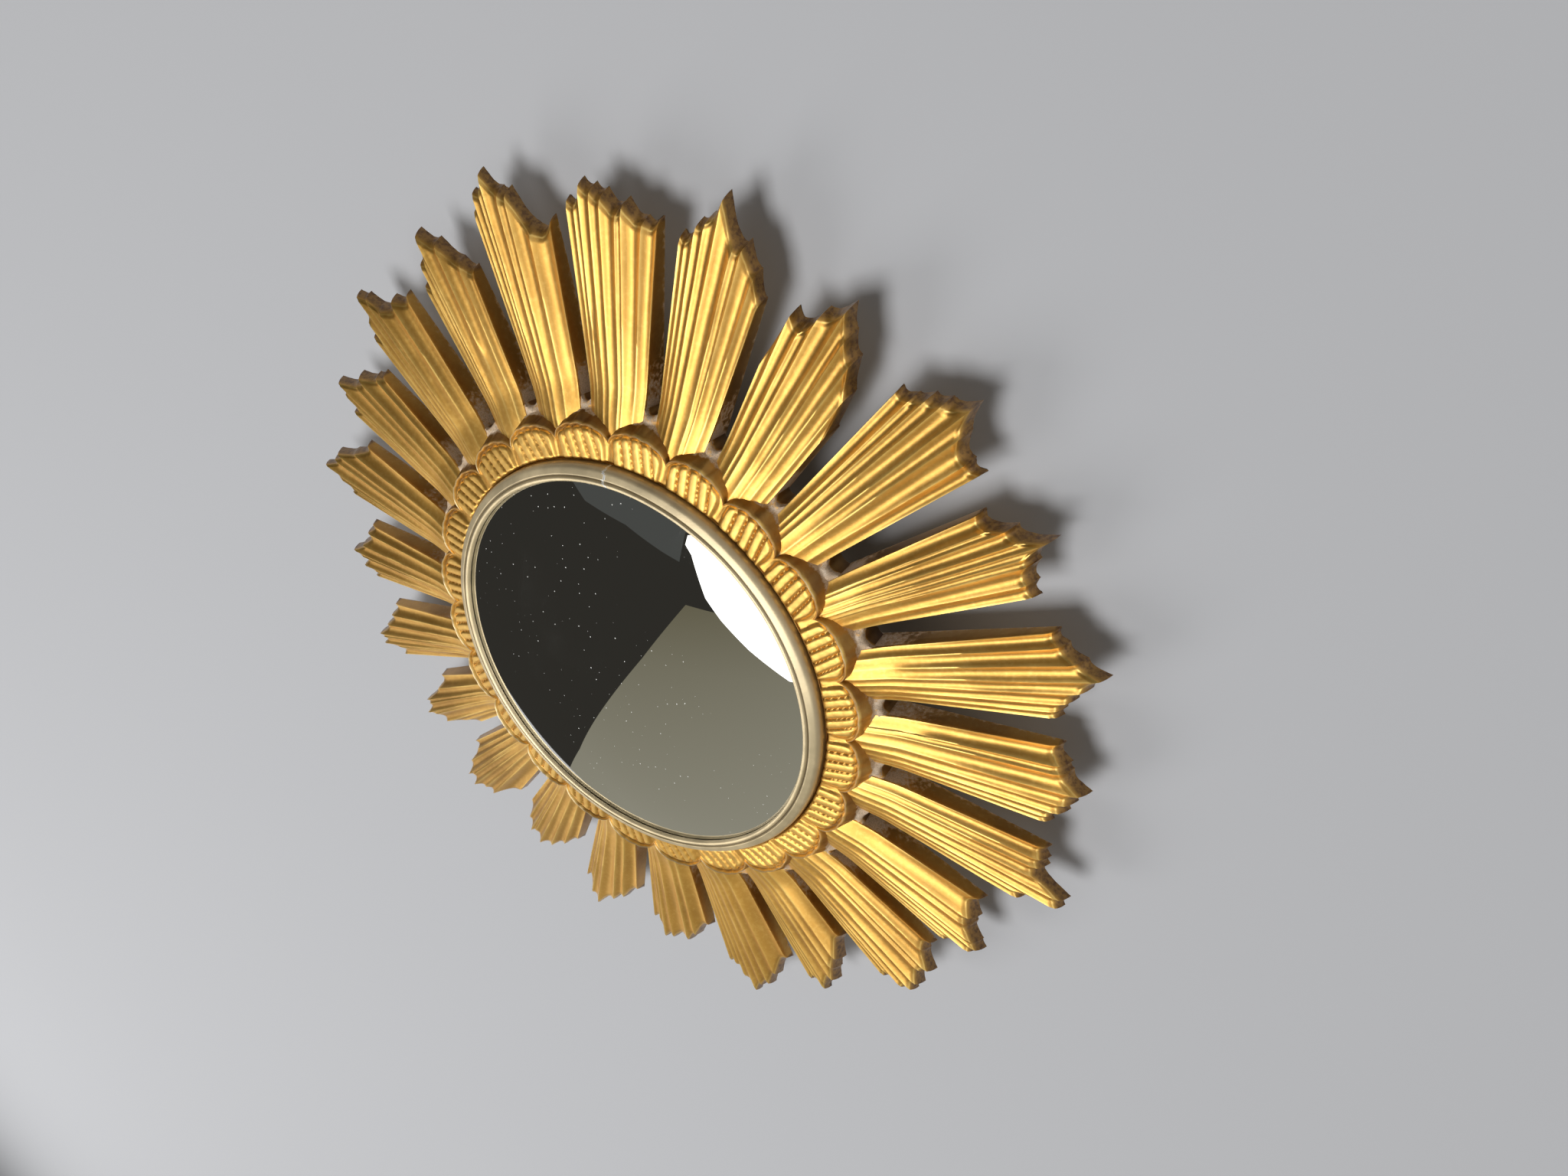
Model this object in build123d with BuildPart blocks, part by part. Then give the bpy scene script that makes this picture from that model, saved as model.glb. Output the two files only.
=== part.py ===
"""Sunburst mirror: a cast and gilded sunburst frame round a small convex glass.

The frame has 24 fluted rays with stepped tips and 24 gadrooned petals. The glass lies on a felt
ring in the frame's well, a moulded strip holds its edge, and a board closes the back, where the
mirror hangs by a triangular ring.

The glass faces -Y and +Z is up. The origin is on the wall plane, on the axis of the glass.
A height is measured from the wall towards the viewer, so it lies at Y = -height.
"""

import os
from math import cos, degrees, pi, radians, sin, sqrt, tan

from build123d import *

# Glass
sight_diameter = 240.0
glass_lap = 5.0
glass_thickness = 3.0
glass_rise = 20.0
glass_edge_clearance = 0.6
glass_seat_clearance = 0.15

# Heights above the wall
pad_thickness = 6.0
ray_back_height = 22.0
petal_height = 50.0
glass_sight_height = 55.0

# Bezel strip
strip_width = 4.0
strip_lip_clearance = 0.3
strip_lip_thickness = 1.7
strip_crest_rise = 1.0
strip_groove_depth = 2.2
strip_bead_rise = 0.8
strip_edge_drop = 4.8
strip_seat_depth = 1.5
strip_joint_gap = 0.8
strip_joint_angle = -16.0

# Packing ring under the glass
packing_width = 5.0
packing_thickness = 2.3

# Well and back of the frame
bore_diameter = 208.0
rim_width = 32.0
boss_draft = 8.0
board_thickness = 3.2
board_lap = 6.0
board_recess = 1.8
board_clearance = 0.3

# Petals
petal_count = 24
petal_inner_radius = 131.0
petal_notch_radius = 143.5
petal_crest_radius = 151.0
petal_land_angle = 2.6
petal_rim_width = 1.7
petal_pocket_depth = 4.5
petal_wall_draft = 9.0
reed_count = 5
reed_radius = 3.0
reed_sides = 8
reed_height = 3.4
reed_lean = 14.0
land_drop = 4.0
web_radius = 158.0
web_thickness = 6.5

# Rays
ray_reach = 281.0
ray_root_radius = 138.0
ray_root_thickness = 18.4
ray_tip_thickness = 7.6
ray_crown = 4.6
ray_flank_spread = 0.8
flute_depth_share = 0.24
flute_root_share = 0.3
tip_bite_share = 0.32
tip_bevel_angle = 40.0

# One row a ray, anticlockwise from the viewer's right. Each ridge of the ray has its angle from
# the ray's centre line in degrees and the distance by which its tip falls short of ray_reach.
# The first and last ridges are the ray's edges.
ray_ridges = (
    ((-5.8, 29), (-2.9, 31), (-0.5, 12), (0.7, 11), (2.7, 0), (3.5, 7), (4.9, 8), (5.9, 17)),
    ((-5.0, 43), (-3.5, 36), (-1.2, 21), (1.2, 11), (1.9, 23), (3.0, 24), (3.4, 36), (5.0, 35)),
    ((-5.4, 31), (-2.8, 26), (0.0, 23), (0.9, 12), (2.2, 6), (3.7, 20), (4.1, 33), (5.4, 27)),
    ((-5.4, 43), (-4.2, 39), (-1.8, 27), (-0.4, 27), (2.1, 12), (3.0, 19), (3.5, 30), (5.4, 27)),
    ((-5.4, 41), (-2.8, 31), (-0.8, 15), (0.5, 12), (2.9, 1), (3.8, 15), (4.3, 25), (5.4, 25)),
    ((-5.1, 41), (-3.5, 36), (-1.0, 29), (0.8, 17), (1.3, 24), (3.4, 23), (3.9, 33), (5.1, 31)),
    ((-5.0, 43), (-3.0, 36), (-1.1, 27), (0.9, 12), (1.4, 15), (2.8, 11), (3.4, 27), (5.0, 27)),
    ((-5.6, 61), (-3.3, 51), (-1.5, 29), (-0.8, 30), (0.8, 20), (1.4, 29), (3.3, 36), (4.2, 60), (5.6, 75)),
    ((-6.2, 51), (-4.8, 49), (-3.6, 31), (-1.9, 15), (-1.3, 22), (0.1, 12), (1.6, 24), (3.2, 25), (6.2, 57)),
    ((-5.9, 59), (-4.3, 41), (-2.7, 29), (-1.9, 35), (-0.2, 26), (1.9, 35), (4.0, 48), (5.9, 63)),
    ((-5.4, 30), (-4.2, 35), (-3.5, 17), (-1.9, 11), (1.1, 29), (2.9, 38), (5.4, 54)),
    ((-5.9, 35), (-4.3, 36), (-3.5, 21), (-1.7, 26), (1.5, 31), (3.1, 39), (5.9, 53)),
    ((-6.2, 24), (-4.9, 23), (-3.7, 14), (-2.4, 3), (-0.7, 11), (0.9, 14), (2.9, 25), (6.2, 41)),
    ((-5.8, 25), (-4.5, 27), (-3.7, 18), (-2.9, 23), (-0.6, 27), (0.8, 37), (2.6, 44), (5.8, 61)),
    ((-6.4, 27), (-5.1, 28), (-4.3, 17), (-2.9, 14), (-1.0, 17), (1.6, 25), (2.6, 23), (4.6, 37), (6.4, 39)),
    ((-5.6, 37), (-4.6, 37), (-3.6, 23), (-2.2, 21), (-1.3, 26), (0.8, 36), (2.2, 37), (5.6, 42)),
    ((-5.0, 27), (-3.5, 27), (-2.4, 7), (-0.8, 7), (0.7, 24), (2.2, 24), (3.4, 25), (5.0, 27)),
    ((-5.8, 30), (-4.7, 29), (-3.4, 23), (-1.8, 20), (0.1, 14), (2.5, 24), (3.5, 25), (5.8, 29)),
    ((-5.4, 29), (-4.3, 27), (-3.0, 21), (-1.5, 13), (0.0, 3), (1.9, 13), (3.8, 20), (5.4, 23)),
    ((-5.3, 27), (-3.6, 25), (-1.5, 20), (-0.6, 18), (0.2, 7), (1.2, 19), (2.7, 23), (3.4, 32), (5.3, 35)),
    ((-6.0, 24), (-4.3, 25), (-1.8, 18), (-0.2, 5), (1.9, 15), (3.3, 20), (4.4, 27), (6.0, 31)),
    ((-6.3, 73), (-5.3, 51), (-3.5, 35), (-1.7, 26), (-0.1, 15), (2.1, 26), (3.3, 37), (5.2, 35), (6.3, 61)),
    ((-5.7, 41), (-4.3, 29), (-2.4, 18), (-1.4, 20), (0.9, 1), (2.4, 14), (3.6, 18), (4.7, 27), (5.7, 27)),
    ((-6.3, 24), (-4.5, 25), (-2.1, 18), (-1.3, 21), (0.7, 15), (2.2, 13), (3.9, 11), (4.9, 20), (6.3, 20)),
)

# Back fittings
pin_count = 8
pin_radius = 0.7
pin_head_radius = 1.9
pin_head_thickness = 0.6
pin_length = 12.0
pad_count = 4
pad_radius = 8.0
strap_width = 12.0
strap_length = 25.0
strap_thickness = 1.6
strap_edge_distance = 1.5
eye_wall = 1.2
eye_clearance = 0.1
hanger_wire_radius = 1.2
hanger_width = 26.0
hanger_drop = 22.0
hanger_bend_radius = 3.0
hanger_strap_gap = 0.2
screw_radius = 1.4
screw_head_radius = 2.8
screw_length = 14.0
screw_spacing = 10.0
screw_end_distance = 6.0
screw_slot_width = 0.8
screw_slot_depth = 0.6
strap_corner_radius = 2.0
hole_clearance = 0.05

ray_count = len(ray_ridges)
ray_pitch = 360 / ray_count
petal_pitch = 360 / petal_count

# The glass is part of a ball: its edge height follows from the rise at the sight line.
sight_radius = sight_diameter / 2
glass_radius = sight_radius + glass_lap
ball_radius = (sight_radius**2 + glass_rise**2) / (2 * glass_rise)
ball_height = glass_sight_height + glass_rise - ball_radius
glass_edge_back = ball_height + sqrt((ball_radius - glass_thickness) ** 2 - glass_radius**2)

# The well is stepped: the felt lies on its floor, and the strip on a step outside the glass.
well_radius = glass_radius + glass_edge_clearance
well_floor = glass_edge_back - glass_seat_clearance - packing_thickness
strip_outer_radius = well_radius + strip_width
strip_lip_height = glass_sight_height + strip_lip_clearance
strip_crest_height = strip_lip_height + strip_lip_thickness + strip_crest_rise
strip_seat_height = petal_height - strip_seat_depth

bore_radius = bore_diameter / 2
board_radius = bore_radius + board_lap
board_front = pad_thickness + board_recess + board_thickness
rim_inner_radius = board_radius + board_clearance
rim_outer_radius = rim_inner_radius + rim_width
boss_outer_radius = rim_outer_radius + (ray_back_height - pad_thickness) * tan(radians(boss_draft))

# The pocket floor of the petals, the ground between them and the web between the ray roots.
pocket_floor = petal_height - petal_pocket_depth
land_height = petal_height - land_drop
web_height = ray_back_height + web_thickness

# The hanger strap lies on the rim above the glass, with its eye next to the rim's outer edge.
eye_inner_radius = hanger_wire_radius + eye_clearance
eye_outer_radius = eye_inner_radius + eye_wall
strap_back = pad_thickness - strap_thickness
hanger_axis_height = strap_back - hanger_strap_gap - hanger_wire_radius
hanger_axis_z = rim_outer_radius - strap_edge_distance
strap_bottom_z = hanger_axis_z - strap_length
screw_heights = [strap_bottom_z + screw_end_distance + i * screw_spacing for i in range(2)]

# The pins stand in a circle through the board's edge, where it lies on the frame's ledge.
board_back = board_front - board_thickness
pin_circle_radius = (bore_radius + board_radius) / 2
pin_angles = [(i + 0.5) * 360 / pin_count for i in range(pin_count)]
pin_hole_depth = pin_length - board_thickness + 0.5
pad_circle_radius = (rim_inner_radius + rim_outer_radius) / 2
screw_head_height = screw_head_radius - screw_radius
strip_groove_radius = well_radius + 0.4
strip_groove_height = strip_crest_height - strip_groove_depth
hole_align = (Align.CENTER, Align.CENTER, Align.MIN)
head_align = (Align.CENTER, Align.CENTER, Align.MAX)

os.makedirs("parts", exist_ok=True)


def at(radius, height):
    """A point of a turned profile, drawn in the XY plane and turned about Y."""
    return (radius, -height)


def polar(radius, angle):
    """A point in the plane of the wall, from its radius and its angle in degrees."""
    return (radius * cos(radians(angle)), radius * sin(radians(angle)))


def seen_from_front(height):
    """The drawing plane at a height above the wall, with its normal towards the viewer."""
    return Plane.XZ.offset(height)


def turned_to(part, angle):
    """The part turned anticlockwise as the viewer sees it."""
    return part.rotate(Axis.Y, -angle)


def front_place(radius, height, angle):
    """A place on a circle round the axis whose Z points away from the wall."""
    x, z = polar(radius, angle)
    return Location((x, -height, z), (90, 0, 0)) * Location((0, 0, 0), (0, 0, angle))


def on_ball(radius, distance):
    """A point of the glass's profile at a distance from the axis, on a ball of that radius."""
    return at(distance, ball_height + sqrt(radius**2 - distance**2))


def save(builder, name):
    """Names a finished piece and writes it."""
    builder.part.label = name
    export_step(builder.part, f"parts/{name}.step")


def ray_section(distance, ridges, thickness, depth_share):
    """The ray's section at a distance from the axis: flat back, drafted flanks, V-cut flutes."""
    half_angle = ridges[-1][0]
    tops = [
        (
            distance * tan(radians(angle)),
            ray_back_height + thickness - ray_crown * (angle / half_angle) ** 2,
        )
        for angle, _ in ridges
    ]
    plane = Plane(origin=(distance, 0, 0), x_dir=(0, 0, 1), z_dir=(1, 0, 0))
    with BuildSketch(plane) as section:
        with BuildLine():
            for (x0, y0), (x1, y1) in zip(tops, tops[1:]):
                sink = depth_share * (x1 - x0)
                Polyline((x0, y0), ((x0 + x1) / 2, (y0 + y1) / 2 - sink), (x1, y1))
            back_left = (tops[0][0] - ray_flank_spread, ray_back_height)
            back_right = (tops[-1][0] + ray_flank_spread, ray_back_height)
            Polyline(tops[-1], back_right, back_left, tops[0])
        make_face()
    return section.sketch


def ray_outline(ridges):
    """The ray seen from the front: its ridges end in points with a bite out of each flute."""
    points = [polar(ray_reach - cut, angle) for angle, cut in ridges]
    with BuildSketch(seen_from_front(ray_back_height)) as outline:
        with BuildLine():
            for (a0, c0), (a1, c1), start, end in zip(ridges, ridges[1:], points, points[1:]):
                span = (ray_reach - c0) * radians(a1 - a0)
                bite = tip_bite_share * span
                middle = polar(ray_reach - (c0 + c1) / 2 - bite, (a0 + a1) / 2)
                Polyline(start, middle, end)
            side_right = polar(ray_reach - ridges[-1][1], ridges[-1][0] + 1)
            side_left = polar(ray_reach - ridges[0][1], ridges[0][0] - 1)
            root_right = polar(ray_root_radius / 2, ridges[-1][0] + 1)
            root_left = polar(ray_root_radius / 2, ridges[0][0] - 1)
            Polyline(points[-1], side_right, root_right, root_left, side_left, points[0])
        make_face()
    return outline.sketch


def make_ray(ridges):
    """A fluted ray along +X, cut at its tip by an outline that leans back towards the root."""
    lean = tan(radians(tip_bevel_angle))
    cut_height = 1.5 * (ray_root_thickness + ray_crown)
    with BuildPart() as ray:
        root_depth = flute_root_share * flute_depth_share
        add(ray_section(ray_root_radius, ridges, ray_root_thickness, root_depth))
        add(ray_section(ray_reach, ridges, ray_tip_thickness, flute_depth_share))
        loft(ruled=True)
        extrude(
            ray_outline(ridges),
            amount=cut_height * sqrt(1 + lean**2),
            dir=(-lean, -1, 0),
            mode=Mode.INTERSECT,
        )
    return ray.part


def petal_outline(height, inset, inner=petal_inner_radius):
    """A petal seen from the front along +X: an arc near the glass, two sides and a scallop."""
    side = (petal_pitch - petal_land_angle) / 2 - degrees(inset / petal_notch_radius)
    shoulder = petal_notch_radius - inset
    with BuildSketch(seen_from_front(height)) as outline:
        with BuildLine():
            ThreePointArc(polar(inner, -side), polar(inner, 0), polar(inner, side))
            Line(polar(inner, side), polar(shoulder, side))
            ThreePointArc(polar(shoulder, side), (petal_crest_radius - inset, 0), polar(shoulder, -side))
            Line(polar(shoulder, -side), polar(inner, -side))
        make_face()
    return outline.sketch


def make_petal():
    """A scalloped block with a raised rim, and leaning reeds in the pocket inside the rim."""
    middle_radius = (petal_inner_radius + petal_crest_radius) / 2
    pocket_angle = petal_pitch - petal_land_angle - 2 * degrees(petal_rim_width / middle_radius)
    reed_pitch = pocket_angle / reed_count
    with BuildPart() as reeds:
        for i in range(reed_count):
            angle = (i - (reed_count - 1) / 2) * reed_pitch
            x, z = polar(middle_radius, angle)
            y = -(pocket_floor + reed_height - reed_radius * cos(pi / reed_sides))
            lean = radians(angle + reed_lean)
            axis_plane = Plane(origin=(x, y, z), z_dir=(cos(lean), 0, sin(lean)))
            with BuildSketch(axis_plane):
                RegularPolygon(reed_radius, reed_sides, rotation=180 / reed_sides)
            extrude(amount=petal_crest_radius - petal_inner_radius, both=True)
        pocket_face = petal_outline(pocket_floor - 1, petal_rim_width)
        extrude(pocket_face, amount=petal_pocket_depth, mode=Mode.INTERSECT)
    open_end = petal_inner_radius - petal_rim_width
    pocket = petal_outline(petal_height, petal_rim_width, open_end)
    with BuildPart() as petal:
        extrude(
            petal_outline(petal_height, 0),
            amount=-(petal_height - web_height - 0.5),
            taper=-petal_wall_draft,
        )
        extrude(pocket, amount=-petal_pocket_depth, mode=Mode.SUBTRACT)
        add(reeds.part)
    return petal.part


with BuildPart() as sunburst_frame:
    with BuildSketch(Plane.XY):
        with BuildLine():
            Polyline(
                at(bore_radius, board_front),
                at(rim_inner_radius, board_front),
                at(rim_inner_radius, pad_thickness),
                at(rim_outer_radius, pad_thickness),
                at(boss_outer_radius, ray_back_height),
                at(web_radius, ray_back_height),
                at(web_radius, web_height),
                at(petal_notch_radius, land_height),
                at(strip_outer_radius + board_clearance, land_height),
                at(strip_outer_radius + board_clearance, strip_seat_height),
                at(well_radius, strip_seat_height),
                at(well_radius, well_floor),
                at(bore_radius, well_floor),
                close=True,
            )
        make_face()
    revolve(axis=Axis.Y)
    petal = make_petal()
    add([turned_to(petal, (i + 0.5) * petal_pitch) for i in range(petal_count)])
    add([turned_to(make_ray(ridges), i * ray_pitch) for i, ridges in enumerate(ray_ridges)])
    with Locations(*[front_place(pin_circle_radius, board_front, a) for a in pin_angles]):
        Cylinder(pin_radius + hole_clearance, pin_hole_depth, align=hole_align, mode=Mode.SUBTRACT)
    with Locations(*[Location((0, -pad_thickness, z), (90, 0, 0)) for z in screw_heights]):
        Cylinder(screw_radius + hole_clearance, screw_length, align=hole_align, mode=Mode.SUBTRACT)
save(sunburst_frame, "sunburst_frame")

with BuildPart() as bezel_strip:
    with BuildSketch(Plane.XY):
        with BuildLine():
            Polyline(
                at(sight_radius, strip_lip_height + strip_lip_thickness),
                at(sight_radius, strip_lip_height),
                at(well_radius, strip_lip_height),
                at(well_radius, strip_seat_height),
                at(strip_outer_radius, strip_seat_height),
                at(strip_outer_radius, strip_crest_height - strip_edge_drop),
            )
            ThreePointArc(
                at(strip_outer_radius, strip_crest_height - strip_edge_drop),
                at(strip_outer_radius - 0.9, strip_groove_height + strip_bead_rise / 2),
                at(strip_groove_radius + 1.3, strip_groove_height + strip_bead_rise),
            )
            Line(
                at(strip_groove_radius + 1.3, strip_groove_height + strip_bead_rise),
                at(strip_groove_radius, strip_groove_height),
            )
            ThreePointArc(
                at(strip_groove_radius, strip_groove_height),
                at(sight_radius + 3.9, strip_crest_height - 0.5),
                at(sight_radius + 2.2, strip_crest_height),
            )
            ThreePointArc(
                at(sight_radius + 2.2, strip_crest_height),
                at(sight_radius + 0.7, strip_crest_height - 0.3),
                at(sight_radius, strip_lip_height + strip_lip_thickness),
            )
        make_face()
    revolve(axis=Axis.Y)
    with Locations(front_place(strip_outer_radius, strip_seat_height, strip_joint_angle)):
        Box(4 * strip_width, strip_joint_gap, 4 * strip_width, rotation=(0, 0, 12), mode=Mode.SUBTRACT)
save(bezel_strip, "bezel_strip")

with BuildPart() as convex_mirror:
    with BuildSketch(Plane.XY):
        with BuildLine():
            front_edge = on_ball(ball_radius, glass_radius)
            back_edge = on_ball(ball_radius - glass_thickness, glass_radius)
            front_top = on_ball(ball_radius, 0)
            back_top = on_ball(ball_radius - glass_thickness, 0)
            ThreePointArc(front_top, on_ball(ball_radius, sight_radius / 2), front_edge)
            Line(front_edge, back_edge)
            ThreePointArc(back_edge, on_ball(ball_radius - glass_thickness, sight_radius / 2), back_top)
            Line(back_top, front_top)
        make_face()
    revolve(axis=Axis.Y)
save(convex_mirror, "convex_mirror")

with BuildPart() as packing_ring:
    with BuildSketch(seen_from_front(well_floor)):
        Circle(glass_radius - board_clearance)
        Circle(glass_radius - board_clearance - packing_width, mode=Mode.SUBTRACT)
    extrude(amount=packing_thickness)
save(packing_ring, "packing_ring")

with BuildPart() as backing_board:
    with BuildSketch(seen_from_front(board_front)):
        Circle(board_radius)
        with PolarLocations(pin_circle_radius, pin_count, start_angle=pin_angles[0]):
            Circle(pin_radius + hole_clearance, mode=Mode.SUBTRACT)
    extrude(amount=-board_thickness)
save(backing_board, "backing_board")

with BuildPart() as backing_pins:
    with Locations(*[front_place(pin_circle_radius, board_back, a) for a in pin_angles]):
        Cylinder(pin_head_radius, pin_head_thickness, align=head_align)
        Cylinder(pin_radius, pin_length, align=hole_align)
save(backing_pins, "backing_pins")

with BuildPart() as hanger_strap:
    with BuildSketch(seen_from_front(strap_back)):
        with Locations((0, (strap_bottom_z + hanger_axis_z) / 2)):
            Rectangle(strap_width, strap_length)
        with Locations(*[(0, z) for z in screw_heights]):
            Circle(screw_radius + hole_clearance, mode=Mode.SUBTRACT)
    extrude(amount=strap_thickness)
    fillet(hanger_strap.edges().filter_by(Axis.Y).group_by(Axis.Z)[0], strap_corner_radius)
    with Locations(Location((0, -hanger_axis_height, hanger_axis_z), (0, 90, 0))):
        Cylinder(eye_outer_radius, strap_width)
        Cylinder(eye_inner_radius, strap_width, mode=Mode.SUBTRACT)
    with Locations(*[Location((0, -strap_back, z), (90, 0, 0)) for z in screw_heights]):
        Cone(
            screw_head_radius + hole_clearance,
            screw_radius + hole_clearance,
            screw_head_height,
            align=hole_align,
            mode=Mode.SUBTRACT,
        )
save(hanger_strap, "hanger_strap")

with BuildPart() as hanger_screws:
    with Locations(*[Location((0, -strap_back, z), (90, 0, 0)) for z in screw_heights]):
        Cone(screw_head_radius, screw_radius, screw_head_height, align=hole_align)
        Cylinder(screw_radius, screw_length, align=hole_align)
        Box(2 * screw_head_radius, screw_slot_width, 2 * screw_slot_depth, mode=Mode.SUBTRACT)
save(hanger_screws, "hanger_screws")

with BuildPart() as hanger_ring:
    with BuildLine(seen_from_front(hanger_axis_height)) as ring_path:
        corners = (
            (-hanger_width / 2, hanger_axis_z),
            (hanger_width / 2, hanger_axis_z),
            (0, hanger_axis_z - hanger_drop),
        )
        FilletPolyline(*corners, radius=hanger_bend_radius, close=True)
    with BuildSketch(Plane(origin=(0, -hanger_axis_height, hanger_axis_z), z_dir=(1, 0, 0))):
        Circle(hanger_wire_radius)
    sweep(path=ring_path.wires()[0])
save(hanger_ring, "hanger_ring")

with BuildPart() as wall_pads:
    with BuildSketch(seen_from_front(0)):
        with PolarLocations(pad_circle_radius, pad_count, start_angle=45):
            Circle(pad_radius)
    extrude(amount=pad_thickness)
save(wall_pads, "wall_pads")
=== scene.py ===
"""The looks of a sunburst mirror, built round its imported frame.

Lengths are metres. A height is measured from the wall towards the viewer, so it lies at
Y = -height, and an angle runs anticlockwise from +X as the viewer sees it.
"""

import bpy
import numpy as np
from mathutils import Matrix


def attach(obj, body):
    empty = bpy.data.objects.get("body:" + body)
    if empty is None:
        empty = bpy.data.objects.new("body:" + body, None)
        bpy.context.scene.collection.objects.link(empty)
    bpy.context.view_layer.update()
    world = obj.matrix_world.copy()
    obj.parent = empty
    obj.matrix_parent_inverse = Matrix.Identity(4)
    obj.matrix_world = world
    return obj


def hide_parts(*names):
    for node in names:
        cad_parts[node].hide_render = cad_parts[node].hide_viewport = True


bl_info = {
    "name": "Sunburst mirror",
    "version": (1, 0, 0),
    "blender": (4, 5, 0),
    "location": "View3D > Sidebar > Sunburst",
    "description": "Builds a gilded sunburst mirror with a convex glass",
    "category": "Add Mesh",
}

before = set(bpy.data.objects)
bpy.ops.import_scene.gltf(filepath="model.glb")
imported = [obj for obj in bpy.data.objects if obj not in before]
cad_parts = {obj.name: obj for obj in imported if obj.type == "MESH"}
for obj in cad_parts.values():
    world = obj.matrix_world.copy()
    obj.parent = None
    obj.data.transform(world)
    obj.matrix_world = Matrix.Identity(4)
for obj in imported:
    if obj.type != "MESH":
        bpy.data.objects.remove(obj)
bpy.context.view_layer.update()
MM = 0.001

PHOTO_WIDTH = 2048
PHOTO_FOCAL_PIXELS = 1534.7
SENSOR_WIDTH = 36.0
CAMERA_PLACE = (0.2870, -0.4734, -0.4666)
CAMERA_RIGHT = (-0.2466, 0.5226, -0.8162)
CAMERA_UP = (0.8864, 0.4621, 0.0280)
CAMERA_BACK = (0.3918, -0.7165, -0.5772)

# One row a ray, anticlockwise from +X. Each ridge has its angle from the ray's centre line in
# degrees, and the distance in mm by which its tip falls short of the reach.
RAY_RIDGES = (
    ((-5.8, 29), (-2.9, 31), (-0.5, 12), (0.7, 11), (2.7, 0), (3.5, 7), (4.9, 8), (5.9, 17)),
    ((-5.0, 43), (-3.5, 36), (-1.2, 21), (1.2, 11), (1.9, 23), (3.0, 24), (3.4, 36), (5.0, 35)),
    ((-5.4, 31), (-2.8, 26), (0.0, 23), (0.9, 12), (2.2, 6), (3.7, 20), (4.1, 33), (5.4, 27)),
    ((-5.4, 43), (-4.2, 39), (-1.8, 27), (-0.4, 27), (2.1, 12), (3.0, 19), (3.5, 30), (5.4, 27)),
    ((-5.4, 41), (-2.8, 31), (-0.8, 15), (0.5, 12), (2.9, 1), (3.8, 15), (4.3, 25), (5.4, 25)),
    ((-5.1, 41), (-3.5, 36), (-1.0, 29), (0.8, 17), (1.3, 24), (3.4, 23), (3.9, 33), (5.1, 31)),
    ((-5.0, 43), (-3.0, 36), (-1.1, 27), (0.9, 12), (1.4, 15), (2.8, 11), (3.4, 27), (5.0, 27)),
    ((-5.6, 61), (-3.3, 51), (-1.5, 29), (-0.8, 30), (0.8, 20), (1.4, 29), (3.3, 36), (4.2, 60), (5.6, 75)),
    ((-6.2, 51), (-4.8, 49), (-3.6, 31), (-1.9, 15), (-1.3, 22), (0.1, 12), (1.6, 24), (3.2, 25), (6.2, 57)),
    ((-5.9, 59), (-4.3, 41), (-2.7, 29), (-1.9, 35), (-0.2, 26), (1.9, 35), (4.0, 48), (5.9, 63)),
    ((-5.4, 30), (-4.2, 35), (-3.5, 17), (-1.9, 11), (1.1, 29), (2.9, 38), (5.4, 54)),
    ((-5.9, 35), (-4.3, 36), (-3.5, 21), (-1.7, 26), (1.5, 31), (3.1, 39), (5.9, 53)),
    ((-6.2, 24), (-4.9, 23), (-3.7, 14), (-2.4, 3), (-0.7, 11), (0.9, 14), (2.9, 25), (6.2, 41)),
    ((-5.8, 25), (-4.5, 27), (-3.7, 18), (-2.9, 23), (-0.6, 27), (0.8, 37), (2.6, 44), (5.8, 61)),
    ((-6.4, 27), (-5.1, 28), (-4.3, 17), (-2.9, 14), (-1.0, 17), (1.6, 25), (2.6, 23), (4.6, 37), (6.4, 39)),
    ((-5.6, 37), (-4.6, 37), (-3.6, 23), (-2.2, 21), (-1.3, 26), (0.8, 36), (2.2, 37), (5.6, 42)),
    ((-5.0, 27), (-3.5, 27), (-2.4, 7), (-0.8, 7), (0.7, 24), (2.2, 24), (3.4, 25), (5.0, 27)),
    ((-5.8, 30), (-4.7, 29), (-3.4, 23), (-1.8, 20), (0.1, 14), (2.5, 24), (3.5, 25), (5.8, 29)),
    ((-5.4, 29), (-4.3, 27), (-3.0, 21), (-1.5, 13), (0.0, 3), (1.9, 13), (3.8, 20), (5.4, 23)),
    ((-5.3, 27), (-3.6, 25), (-1.5, 20), (-0.6, 18), (0.2, 7), (1.2, 19), (2.7, 23), (3.4, 32), (5.3, 35)),
    ((-6.0, 24), (-4.3, 25), (-1.8, 18), (-0.2, 5), (1.9, 15), (3.3, 20), (4.4, 27), (6.0, 31)),
    ((-6.3, 73), (-5.3, 51), (-3.5, 35), (-1.7, 26), (-0.1, 15), (2.1, 26), (3.3, 37), (5.2, 35), (6.3, 61)),
    ((-5.7, 41), (-4.3, 29), (-2.4, 18), (-1.4, 20), (0.9, 1), (2.4, 14), (3.6, 18), (4.7, 27), (5.7, 27)),
    ((-6.3, 24), (-4.5, 25), (-2.1, 18), (-1.3, 21), (0.7, 15), (2.2, 13), (3.9, 11), (4.9, 20), (6.3, 20)),
)
# Ridges that start part of the way out: the ray, the ridge's place in its row, the radius in mm.
RIDGE_STARTS = (
    (1, 2, 196.0), (8, 4, 181.0), (17, 6, 182.0), (18, 5, 172.0), (19, 2, 182.0), (23, 6, 205.0),
)
RAY_COUNT = len(RAY_RIDGES)
RAY_STEP = 360.0 / RAY_COUNT

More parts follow.
